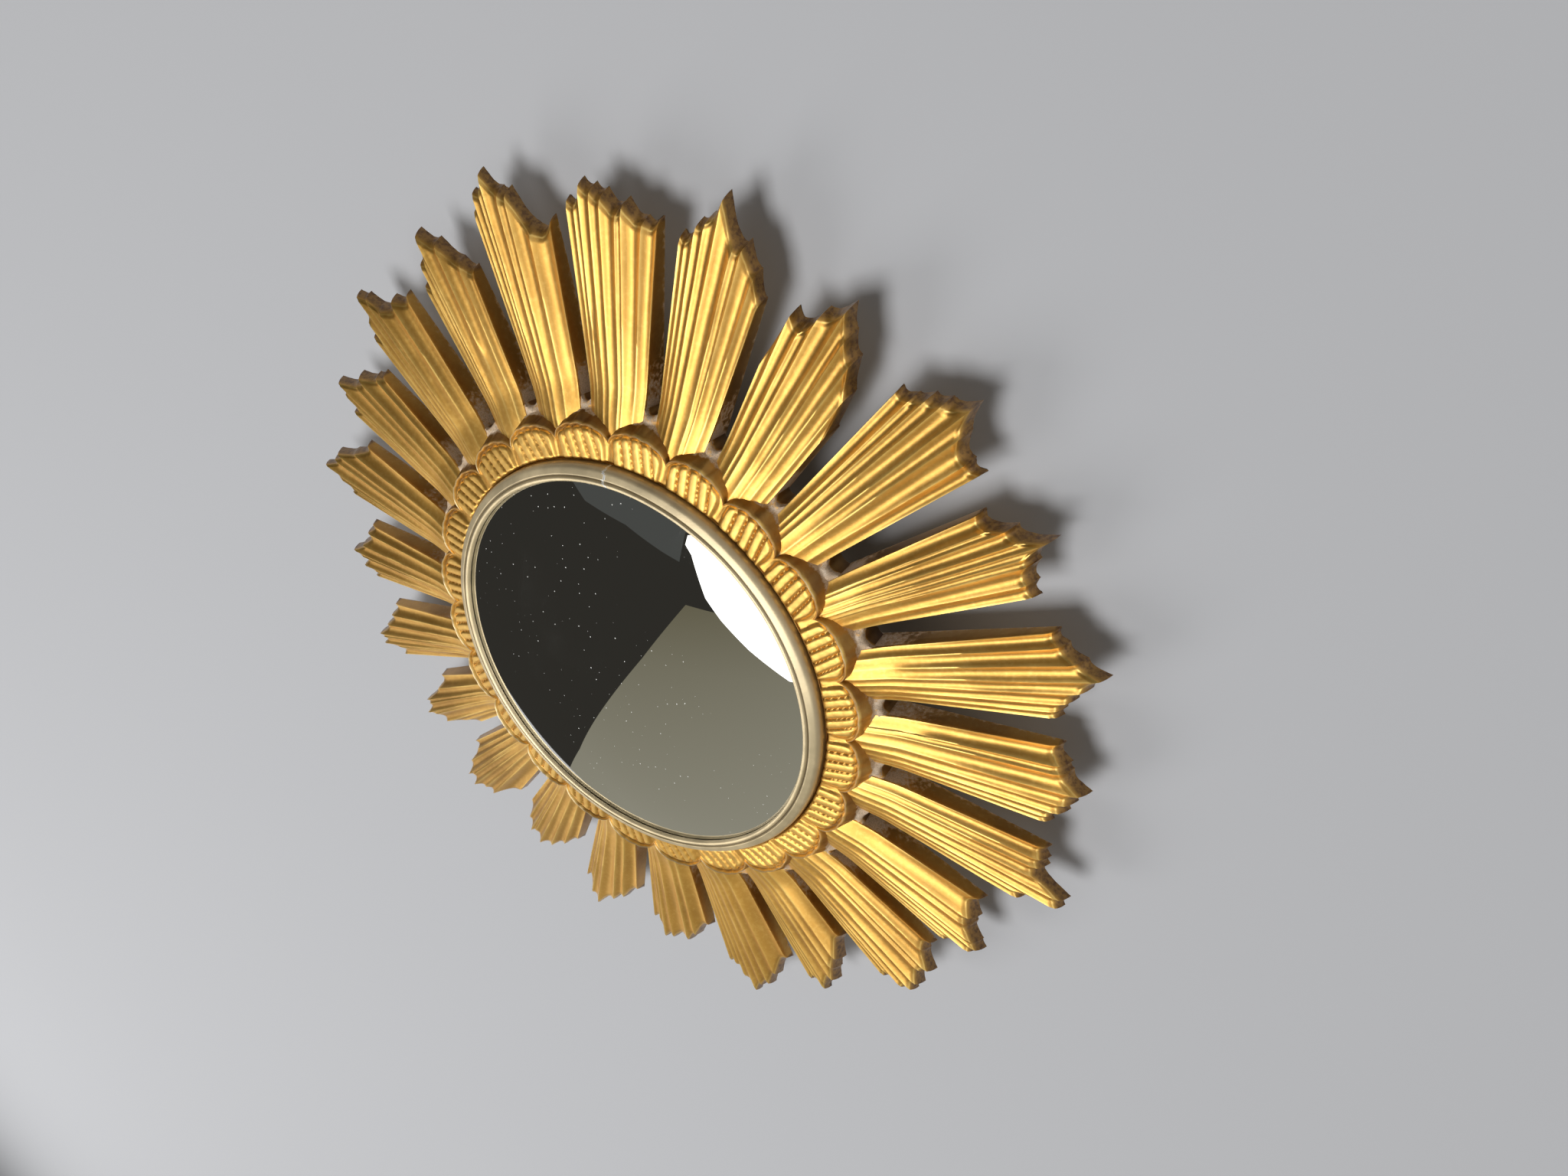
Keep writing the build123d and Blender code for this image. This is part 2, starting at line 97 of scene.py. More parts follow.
# Sizes in mm from here on: radii from the axis, heights over the wall, thicknesses.
RAY_REACH = 281.0
RAY_ROOT = 138.0
RAY_BACK = 22.0
RAY_ROOT_THICKNESS = 21.2
RAY_ROOT_RISE = 2.4
RAY_TIP_THICKNESS = 7.6
RAY_CROWN = 4.6
DEEPEST_FLUTE = 2.6
FLANK_SPREAD = 0.8
# A flute's end is cut back by a share of the flute's width and leans out by a share of its own
# height, and the gold edge over it rolls down by some mm.
TIP_BITE = 0.30
TIP_LEAN = 0.54
TIP_ROLL = 0.7
# The rows and columns of a ray's grid.
FLUTE_COLUMNS = 9
FLANK_COLUMNS = 3
TOP_ROWS = 46
TIP_ROWS = (0.06, 0.15, 0.3, 0.52, 0.76, 1.0)

PETAL_INNER = 130.7
PETAL_NOTCH = 141.7
PETAL_ARCH = 8.6
PETAL_GROUND = 47.0
PETAL_GROUND_RISE = 2.3
PETAL_RIM = 49.5
REED_WIDTH = 6.5
REED_HEIGHT = 1.9
REED_COUNT = 5
WEB_HEIGHT = 40.5
WEB_EDGE = 158.0
CASTING_BACK = 22.5
# The rest of the casting's section, as (radius, height, kind): the body's back, its rim on the
# wall's side, the board's ledge, the bore, the felt's ledge and the strip's seat.
CASTING_SECTION = (
    (147.2, 22.5, "back"), (144.9, 22.5, "back"), (144.4, 21.6, "back"), (142.6, 7.6, "back"),
    (142.1, 6.3, "back"), (141.3, 6.0, "back"), (111.2, 6.0, "back"), (110.5, 6.3, "back"),
    (110.3, 7.2, "back"), (110.3, 10.9, "back"), (110.1, 11.0, "back"), (104.2, 11.0, "back"),
    (104.0, 11.3, "back"), (104.0, 47.2, "back"), (104.4, 47.6, "back"), (125.4, 47.6, "back"),
    (125.6, 47.8, "moat"), (125.6, 48.3, "moat"), (125.9, 48.5, "moat"), (129.5, 48.5, "moat"),
    (129.9, 48.2, "moat"), (129.9, 46.0, "moat"), (130.1, 45.4, "moat"),
)

# The strip's section, as (radius, height, how far its rounding reaches from the corner).
STRIP_SECTION = (
    (120.0, 55.3, 0.3), (120.0, 56.9, 0.8), (120.9, 57.8, 0.7), (122.2, 57.8, 0.5),
    (122.9, 57.0, 0.3), (123.2, 56.5, 0.2), (123.7, 56.5, 0.2), (124.2, 57.4, 0.7),
    (128.2, 55.8, 1.2), (129.6, 53.2, 1.3), (129.6, 48.5, 0.3), (125.6, 48.5, 0.2),
    (125.6, 55.3, 0.2),
)
STRIP_GROOVE = 123.4
STRIP_JOINT_DEGREES = -15.8
STRIP_JOINT_GAP = 0.26

SIGHT_RADIUS = 120.0
SIGHT_HEIGHT = 55.0
GLASS_THICKNESS = 3.0

PIN_PROFILE = (
    (0.0, 7.2), (0.9, 7.22), (1.5, 7.32), (1.85, 7.5), (1.9, 7.7), (1.8, 7.8), (0.7, 7.82),
    (0.7, 17.6), (0.0, 19.7),
)
SCREW_PROFILE = (
    (0.0, 4.9), (0.35, 4.9), (0.5, 4.35), (1.8, 4.32), (2.6, 4.38), (2.8, 4.5), (1.4, 5.8),
    (1.4, 15.0), (0.0, 18.4),
)
PIN_CIRCLE = 107.0
PAD_CIRCLE = 126.3
EYE_Z = 140.8
EYE_HEIGHT = 3.0
WIRE_RADIUS = 1.2
RING_CORNERS = ((-13.0, EYE_Z), (13.0, EYE_Z), (0.0, EYE_Z - 22.0))
RING_BEND = 3.0
STRAP_LENGTH = 25.0
STRAP_HALF_WIDTH = 6.0
FIRST_SCREW = 6.0
SCREW_PITCH = 10.0

# The stage, in metres: the backdrops as (name, corners, glow, share of the colour kept in the
# painted shadow behind the mirror), the radii between which that painted shadow darkens the wall,
# and where the cards' colours change along X.
BACKDROPS = (
    ("wall", ((-20, 0, -1.5), (20, 0, -1.5), (20, 0, 14), (-20, 0, 14)), 0.0, 0.35),
    ("floor", ((-20, -20, -1.5), (20, -20, -1.5), (20, 20, -1.5), (-20, 20, -1.5)), 0.75, 1.0),
)
SHADE_INNER = 0.15
SHADE_OUTER = 0.24
FADE_START = -0.4
FADE_END = -2.8
# What the glass shows of the room: cards with corners at (azimuth, elevation) in degrees.
SIDE_CARD = (
    (-8.2, 17.6), (-22, 31.2), (-48, 47.2), (-69, 52.5), (-92, 54.1), (-100, 20), (-92, -30),
    (-40, -30), (-26, -1), (-18, 4), (-10.5, 9),
)
WINDOW_CARD = (
    (-11.6, 10.4), (-18.3, 6.2), (-26, 0.2), (-40, -30), (6.5, -30), (6.5, 14.0), (4.6, 14.9),
    (2.4, 13.9), (-6.7, 12.7),
)
EDGE_CARD = (
    (13.9, 38.4), (8.7, 28.6), (3, 20.5), (1.0, 17.0), (7, 14.5), (7, -30), (25, -30), (60, 20),
    (40, 50),
)


class SunburstSettings(bpy.types.PropertyGroup):
    """The sizes and colours that a user would change."""

    flute_depth: bpy.props.FloatProperty(
        name="Flute depth",
        description="Depth of a ray's flutes at the tip, as a share of their width",
        default=0.25,
        min=0.05,
        max=0.5,
        subtype="FACTOR",
    )
    reed_lean: bpy.props.FloatProperty(
        name="Reed lean",
        description="Angle by which the petals' reeds lean from the radius",
        default=np.radians(14.0),
        subtype="ANGLE",
    )
    glass_rise: bpy.props.FloatProperty(
        name="Glass rise",
        description="Height of the glass's middle over its sight line",
        default=20.0 * MM,
        unit="LENGTH",
    )
    gold: bpy.props.FloatVectorProperty(
        name="Gold",
        description="Colour of the gold paint",
        default=(0.68, 0.365, 0.068),
        size=3,
        subtype="COLOR",
    )
    # This colour also paints a highlight along ridges and the tips' edge, over gold polished by wear.
    bright_gold: bpy.props.FloatVectorProperty(
        name="Rubbed gold",
        description="Colour of the gold where it is rubbed bright",
        default=(0.96, 0.67, 0.20),
        size=3,
        subtype="COLOR",
    )
    # This colour paints brown glaze and painted shade in hollows, on flanks, in the cove, under the strip
    # and on the web's outer edge, and darkens the tips' end faces.
    shade: bpy.props.FloatVectorProperty(
        name="Shade",
        description="Colour of the brown glaze that lies in the hollows",
        default=(0.13, 0.055, 0.014),
        size=3,
        subtype="COLOR",
    )
    dust: bpy.props.FloatVectorProperty(
        name="Bare cast",
        description="Colour of the pale cast where the gold is missing",
        default=(0.60, 0.46, 0.32),
        size=3,
        subtype="COLOR",
    )
    strip: bpy.props.FloatVectorProperty(
        name="Strip",
        description="Colour of the bezel strip",
        default=(0.50, 0.405, 0.245),
        size=3,
        subtype="COLOR",
    )
    wall: bpy.props.FloatVectorProperty(
        name="Wall",
        description="Colour of the wall and the floor",
        default=(0.43, 0.435, 0.45),
        size=3,
        subtype="COLOR",
    )


def settings():
    """The settings of the scene."""
    return bpy.context.scene.sunburst


# Shapes


def ease(low, high, value):
    """0 below low, 1 above high, and a smooth S curve between them."""
    t = np.clip((value - low) / (high - low), 0.0, 1.0)
    return t * t * (3.0 - 2.0 * t)


def waver(seed, *axes):
    """A soft ripple between about -1 and 1: a sum of sines of random direction and phase."""
    rng = np.random.default_rng(seed)
    total = 0.0
    for octave in range(5):
        turn = rng.uniform(0.6, 1.4, len(axes)) * rng.choice((-1.0, 1.0), len(axes)) * 1.7**octave
        phase = rng.uniform(0.0, 2.0 * np.pi)
        total = total + np.sin(sum(a * t for a, t in zip(axes, turn)) + phase) / 1.5**octave
    return total / 2.2


def round_place(radius, angle, height):
    """Points at a radius (mm), an angle (radians) and a height over the wall (mm), in metres."""
    return np.stack([radius * np.cos(angle), -height, radius * np.sin(angle)], axis=-1) * MM


def grid_faces(rows, columns, wrap_rows=False, wrap_columns=False, start=0):
    """Quads of a grid of points stored row by row, as an array of four point numbers a face."""
    i = np.arange(rows if wrap_rows else rows - 1)[:, None]
    j = np.arange(columns if wrap_columns else columns - 1)[None, :]
    i1 = (i + 1) % rows
    j1 = (j + 1) % columns
    quads = np.stack([i * columns + j, i * columns + j1, i1 * columns + j1, i1 * columns + j], axis=-1)
    return quads.reshape(-1, 4) + start


def add_piece(name, points, faces, values=None, sharp=None):
    """Makes a mesh from point and face arrays, with a number a point for each named value."""
    mesh = bpy.data.meshes.new(name)
    sizes = np.array([len(f) for f in faces]) if isinstance(faces, list) else np.full(len(faces), 4)
    loops = np.concatenate([np.asarray(f) for f in faces]) if isinstance(faces, list) else faces.ravel()
    starts = np.concatenate([[0], np.cumsum(sizes)[:-1]])
    mesh.vertices.add(len(points))
    mesh.vertices.foreach_set("co", np.asarray(points, np.float32).ravel())
    mesh.loops.add(len(loops))
    mesh.loops.foreach_set("vertex_index", loops.astype(np.int32))
    mesh.polygons.add(len(sizes))
    mesh.polygons.foreach_set("loop_start", starts.astype(np.int32))
    mesh.update(calc_edges=True)
    mesh.validate()
    mesh.polygons.foreach_set("use_smooth", np.ones(len(mesh.polygons), bool))
    for key, numbers in (values or {}).items():
        layer = mesh.attributes.new(key, "FLOAT", "POINT")
        layer.data.foreach_set("value", np.asarray(numbers, np.float32).ravel())
    if sharp is not None:
        mesh.set_sharp_from_angle(angle=np.radians(sharp))
    piece = bpy.data.objects.new(name, mesh)
    bpy.context.scene.collection.objects.link(piece)
    return piece


def place(piece, nodes, material, body="mirror"):
    """Gives a piece its material, its body and the nodes that it stands for."""
    piece.data.materials.append(material)
    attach(piece, body)
    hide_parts(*nodes)


def rounded_profile(corners, rounding, steps=5):
    """A closed profile of (radius, height) corners, each cut by an arc-like quadratic curve.

    A curve starts and ends at the rounding distance from its corner: P = (1-t)^2 A + 2t(1-t) C
    + t^2 B.
    """
    corners = np.asarray(corners, float)
    t = np.linspace(0.0, 1.0, steps)[:, None]
    out = []
    for before, corner, after, cut in zip(
        np.roll(corners, 1, axis=0), corners, np.roll(corners, -1, axis=0), rounding
    ):
        if cut == 0:
            out.append(corner[None, :])
            continue
        a = corner + (before - corner) * min(cut / np.linalg.norm(before - corner), 0.45)
        b = corner + (after - corner) * min(cut / np.linalg.norm(after - corner), 0.45)
        out.append((1 - t) ** 2 * a + 2 * t * (1 - t) * corner + t**2 * b)
    return np.concatenate(out)


def turned(profile, columns, centre=(0.0, 0.0)):
    """A closed profile of (radius, height) turned about a line along Y: points and quads.

    P = (radius cos a, -height, radius sin a) for a from 0 to 2 pi.
    """
    angle = np.linspace(0.0, 2.0 * np.pi, columns, endpoint=False)[None, :]
    points = round_place(profile[:, :1], angle, profile[:, 1:] + 0.0 * angle)
    points = points + np.array([centre[0], 0.0, centre[1]]) * MM
    return points.reshape(-1, 3), grid_faces(len(profile), columns, True, True)


def capped_turned(profile, columns, centre=(0.0, 0.0)):
    """As turned, for a profile whose two ends lie on the axis: each end becomes a single point."""
    inner, _ = turned(profile[1:-1], columns, centre)
    rows = len(profile) - 2
    poles = np.array([[centre[0], -end, centre[1]] for end in profile[[0, -1], 1]]) * MM
    points = np.concatenate([inner, poles])
    quads = grid_faces(rows, columns, False, True)
    j = np.arange(columns)
    j1 = (j + 1) % columns
    first = np.stack([np.full(columns, rows * columns), j1, j], axis=-1)
    last = (rows - 1) * columns
    end = np.stack([np.full(columns, rows * columns + 1), last + j, last + j1], axis=-1)
    return points, list(quads) + list(first) + list(end)


def round_places(radius, count, first_degrees=0.0):
    """Evenly spaced (x, z) places on a circle, the first one at the given angle."""
    turn = np.radians(first_degrees) + np.arange(count) * 2.0 * np.pi / count
    return radius * np.stack([np.cos(turn), np.sin(turn)], axis=1)


def carried(section, path, side, up):
    """A closed section of (x, y) pairs carried along a closed path: P = path + x side + y up."""
    across = section[None, :, :1] * side[:, None, :] + section[None, :, 1:] * up[:, None, :]
    points = (path[:, None, :] + across).reshape(-1, 3) * MM
    return points, grid_faces(len(path), len(section), True, True)


def joined(parts):
    """Several (points, faces) pairs as one pair of a point array and a list of faces."""
    points, faces, start = [], [], 0
    for some_points, some_faces in parts:
        points.append(some_points)
        faces.extend(np.asarray(f) + start for f in some_faces)
        start += len(some_points)
    return np.concatenate(points), faces


# Materials


def toned(colour, *shares):
    """A colour times one share, or its red, green and blue each times a share of its own."""
    return tuple(c * k for c, k in zip(colour, shares if len(shares) == 3 else shares * 3))


class Nodes:
    """A node tree under construction, which starts with its output alone."""

    def __init__(self, owner, output):
        owner.use_nodes = True
        self.tree = owner.node_tree
        self.tree.nodes.clear()
        self.output = self.node(output)

    def node(self, kind, inputs=(), **fields):
        """A new node with its fields set and its first inputs filled."""
        made = self.tree.nodes.new(kind)
        for key, value in fields.items():
            setattr(made, key, value)
        for number, value in enumerate(inputs):
            self.fill(made, number, value)
        return made

    def fill(self, node, key, value):
        """Puts a number, a colour or another node's output into a numbered or named input."""
        socket = node.inputs[key]
        if isinstance(value, bpy.types.NodeSocket):
            self.tree.links.new(value, socket)
        elif socket.type == "RGBA":
            socket.default_value = (*value, 1.0)
        else:
            socket.default_value = value

    def math(self, operation, a, b=0.0, clamp=False):
        """A math node's output."""
        made = self.node("ShaderNodeMath", (a, b), operation=operation, use_clamp=clamp)
        return made.outputs[0]

    def step(self, value, low, high, to_low=0.0, to_high=1.0, curve="SMOOTHSTEP"):
        """A smooth step between two levels, as the value goes from low to high."""
        inputs = (value, low, high, to_low, to_high)
        return self.node("ShaderNodeMapRange", inputs, interpolation_type=curve).outputs[0]

    def mix(self, share, first, second):
        """Two colours mixed."""
        made = self.node("ShaderNodeMix", data_type="RGBA")
        for number, value in ((0, share), (6, first), (7, second)):
            self.fill(made, number, value)
        return made.outputs[2]

    def choose(self, share, first, second):
        """Two shaders mixed, into the output."""
        made = self.node("ShaderNodeMixShader", (share, first.outputs[0], second.outputs[0]))
        self.fill(self.output, 0, made.outputs[0])


class Finish(Nodes):
    """A material with one Principled shader, whose patterns follow the object's coordinates."""

    def __init__(self, name):
        self.material = bpy.data.materials.new(name)
        super().__init__(self.material, "ShaderNodeOutputMaterial")
        self.shader = self.node("ShaderNodeBsdfPrincipled")
        self.fill(self.output, "Surface", self.shader.outputs["BSDF"])
        self.place = self.node("ShaderNodeTexCoord").outputs["Object"]

    def noise(self, scale, detail=3.0, roughness=0.55, stretch=None):
        """Noise with the scale in waves a metre, times a stretch on each axis."""
        made = self.node("ShaderNodeTexNoise")
        vector = self.place
        if stretch:
            mapping = self.node("ShaderNodeMapping")
            self.fill(mapping, "Vector", self.place)
            self.fill(mapping, "Scale", stretch)
            vector = mapping.outputs[0]
        self.fill(made, "Vector", vector)
        self.fill(made, "Scale", scale)
        self.fill(made, "Detail", detail)
        self.fill(made, "Roughness", roughness)
        return made.outputs["Fac"]

    def value(self, name):
        """A named value of the mesh's points."""
        return self.node("ShaderNodeAttribute", attribute_name=name).outputs["Fac"]

    def bump(self, height, strength, distance):
        """A bump with its distance in metres, chained to the ones before it."""
        made = self.node("ShaderNodeBump")
        self.fill(made, "Strength", strength)
        self.fill(made, "Distance", distance)
        self.fill(made, "Height", height)
        normal = self.shader.inputs["Normal"]
        if normal.is_linked:
            self.fill(made, "Normal", normal.links[0].from_socket)
        self.fill(self.shader, "Normal", made.outputs[0])

    def set(self, **inputs):
        """Sets the shader's inputs, with an underscore for a space."""
        for key, value in inputs.items():
            self.fill(self.shader, key.replace("_", " "), value)
        return self.material


def gilt_finish(name):
    """Gold paint over a cast: bright on ridges from wear and a painted highlight, brown glaze with
    painted shade in hollows, dark on the tips' end faces, gone where it is bare.

    The mesh's points say how much of each they have, from 0 to 1, and a ridge over 1 gets a paler
    painted highlight line.
    """
    look = settings()
    gold, bright = tuple(look.gold), tuple(look.bright_gold)
    shade, dust = tuple(look.shade), tuple(look.dust)
    f = Finish(name)
    ridge, hollow, bevel, bare = (f.value(key) for key in ("ridge", "hollow", "bevel", "bare"))
    cloud = f.noise(22.0, 4.0, 0.6)
    grain = f.noise(420.0, 3.0, 0.6)
    fleck = f.noise(1500.0, 2.0, 0.6)

    paint = f.mix(f.step(cloud, 0.35, 0.7), gold, toned(gold, 1.12, 1.16, 1.3))
    paint = f.mix(f.math("MULTIPLY", f.step(grain, 0.45, 0.7), 0.22), paint, bright)
    # Ridges get gold polished by wear together with a painted highlight.
    rubbed_and_lit = f.math("MULTIPLY", ridge, f.step(cloud, 0.25, 0.6, 0.55, 1.0), clamp=True)
    paint = f.mix(rubbed_and_lit, paint, bright)
    # Painted highlight: a ridge value over 1, on the petals' rim, gets a pale line.
    rim_highlight_gold = tuple(0.4 + 0.6 * c for c in bright)
    paint = f.mix(f.step(ridge, 1.0, 1.5, 0.0, 0.7), paint, rim_highlight_gold)
    # Brown glaze plus painted shade wherever the hollow value is high.
    glaze_and_shade = f.math("MULTIPLY", hollow, f.step(cloud, 0.3, 0.65, 1.0, 0.55), clamp=True)
    paint = f.mix(glaze_and_shade, paint, shade)
    # The tips' end faces are painted dark brown, in blotches that follow the grain.
    blotchy = f.math("ADD", f.math("MULTIPLY", f.step(grain, 0.35, 0.7), 0.35), 0.65)
    paint = f.mix(f.math("MULTIPLY", bevel, blotchy), paint, toned(shade, 0.95))

    ragged = f.math("ADD", f.math("MULTIPLY", f.math("SUBTRACT", grain, 0.5), 1.1), bare)
    gone = f.math("MULTIPLY", f.step(ragged, 0.35, 0.75), f.step(bare, 0.02, 0.12))
    chips = f.math("MULTIPLY", f.step(f.noise(75.0, 4.0, 0.7), 0.70, 0.73), f.step(ridge, 0.3, 0.8))
    gone = f.math("MAXIMUM", gone, f.math("MULTIPLY", chips, 0.8))
    cast = f.mix(f.step(fleck, 0.4, 0.7), dust, toned(dust, 0.62))
    f.bump(cloud, 0.15, 0.0012)
    f.bump(grain, 0.10, 0.0005)
    f.bump(fleck, 0.10, 0.0002)
    metal = f.math("SUBTRACT", 0.86, f.math("MULTIPLY", bevel, 0.45))
    rough = f.math("ADD", gone, f.math("MULTIPLY", grain, 0.25))
    return f.set(
        Base_Color=f.mix(gone, paint, cast),
        Metallic=f.math("MULTIPLY", f.math("SUBTRACT", 1.0, gone), metal),
        Roughness=f.step(rough, 0.0, 1.0, 0.33, 0.85),
        Coat_Weight=0.22,
        Coat_Roughness=0.34,
    )


def strip_finish():
    """Dull olive gold on a moulded strip, with painted highlight and shade, and pale raw ends at the joint.
    """
    strip = tuple(settings().strip)
    f = Finish("bezel_gold")
    cloud = f.noise(45.0, 4.0, 0.6)
    grain = f.noise(700.0, 3.0, 0.6)
    scratch = f.noise(60.0, 3.0, 0.7, stretch=(1.0, 8.0, 1.0))
    tone = f.mix(f.step(cloud, 0.35, 0.7), strip, toned(strip, 1.25))
    # Painted highlight along the crest of the inner lip.
    tone = f.mix(f.math("MULTIPLY", f.value("ridge"), 0.6), tone, toned(strip, 1.6))
    # Painted shade in the groove and on the low outer wall.
    tone = f.mix(f.value("hollow"), tone, (0.09, 0.065, 0.03))
    tone = f.mix(f.math("MULTIPLY", f.step(scratch, 0.6, 0.75), 0.25), tone, (0.62, 0.54, 0.38))
    raw = f.step(f.math("ADD", f.value("bare"), f.math("MULTIPLY", grain, 0.3)), 0.42, 0.6)
    tone = f.mix(raw, tone, (0.88, 0.86, 0.80))
    f.bump(grain, 0.15, 0.0003)
    return f.set(Base_Color=tone, Metallic=0.55, Roughness=f.step(cloud, 0.3, 0.7, 0.34, 0.46))


def glass_finish():
    """Silvered glass with a few specks: discs in random cells, where a slow noise is high."""
    f = Finish("silvered_glass")
    axes = f.node("ShaderNodeSeparateXYZ", (f.place,))
    flat = f.node("ShaderNodeCombineXYZ", (axes.outputs["X"], axes.outputs["Z"]))
    cells = f.node("ShaderNodeTexVoronoi", feature="F1", voronoi_dimensions="2D")
    f.fill(cells, "Vector", flat.outputs[0])
    f.fill(cells, "Scale", 150.0)
    few = f.step(f.noise(9.0, 2.0), 0.42, 0.55)
    chosen = f.node("ShaderNodeSeparateColor", (cells.outputs["Color"],))
    size = f.math("MULTIPLY", chosen.outputs[0], 0.052)
    speck = f.math("MULTIPLY", f.math("LESS_THAN", cells.outputs["Distance"], size), few)
    speck = f.math("MULTIPLY", speck, f.math("GREATER_THAN", chosen.outputs[1], 0.58))
    haze = f.step(f.noise(14.0, 5.0, 0.65), 0.45, 0.85)
    return f.set(
        Base_Color=f.mix(speck, (0.80, 0.80, 0.77), (0.75, 0.75, 0.72)),
        Metallic=f.math("SUBTRACT", 1.0, speck),
        Roughness=f.math("ADD", f.math("MULTIPLY", speck, 0.5), f.math("MULTIPLY", haze, 0.035)),
    )


def plain_finish(name, colour, metallic, roughness, grain_scale, depth, contrast=0.8, stretch=None):
    """A worn single-colour finish with a grain of the given scale and depth."""
    f = Finish(name)
    grain = f.noise(grain_scale, 4.0, 0.6, stretch=stretch)
    cloud = f.noise(grain_scale / 12.0, 3.0, 0.6)
    tone = f.mix(f.step(grain, 0.3, 0.7), toned(colour, contrast), colour)
    tone = f.mix(f.math("MULTIPLY", f.step(cloud, 0.4, 0.8), 0.35), tone, toned(colour, 0.6))
    f.bump(grain, 0.4, depth)
    rough = f.step(cloud, 0.3, 0.7, roughness, roughness + 0.12)
    return f.set(Base_Color=tone, Metallic=metallic, Roughness=rough)


# The casting


def ray_crown_height(radius):
    """Height of a ray's middle over the wall: it falls evenly from the root to the reach.

    Close to the petals a smooth step adds the root's rise.
    """
    share = (radius - RAY_ROOT) / (RAY_REACH - RAY_ROOT)
    slope = RAY_BACK + RAY_ROOT_THICKNESS + (RAY_TIP_THICKNESS - RAY_ROOT_THICKNESS) * share
    return slope + RAY_ROOT_RISE * ease(172.0, 146.0, radius)


def flute_columns(number):
    """A ray's columns from its first ridge to its last, closer together beside a ridge.

    For each: the flute that it is in, its share of the way across that flute, the flute's width
    in degrees, its angle from the centre line, and the distance by which its end falls short.
    """
    angles, cuts = np.array(RAY_RIDGES[number], float).T
    even = np.linspace(0.0, 1.0, FLUTE_COLUMNS, endpoint=False)
    one_flute = 0.45 * (1.0 - np.cos(np.pi * even)) / 2.0 + 0.55 * even
    count = len(angles) - 1
    share = np.append(np.tile(one_flute, count), 1.0)
    flute = np.append(np.repeat(np.arange(count), FLUTE_COLUMNS), count - 1)
    width = angles[flute + 1] - angles[flute]
    theta = angles[flute] + width * share
    cut = cuts[flute] + (cuts[flute + 1] - cuts[flute]) * share
    return flute, share, width, theta, cut


def with_flanks(radius, angle, height):
    """The grid with three more columns on each side, which take its edge down to the back.

    A share t of the way down, the flank stands out by half of t plus half of t^0.4, times its
    spread.
    """
    t = np.array((0.12, 0.45, 1.0))
    sides = []
    for side, sign in ((0, -1.0), (-1, 1.0)):
        edge_radius, edge_angle, edge_height = (g[:, side, None] for g in (radius, angle, height))
        spread = np.degrees(FLANK_SPREAD * (0.5 * t + 0.5 * t**0.4) / edge_radius)
        down = edge_height + (RAY_BACK - edge_height) * t
        sides.append((edge_radius + 0.0 * t, edge_angle + sign * spread, down))
    left, right = [g[:, ::-1] for g in sides[0]], sides[1]
    return [np.concatenate(g, axis=1) for g in zip(left, (radius, angle, height), right)]


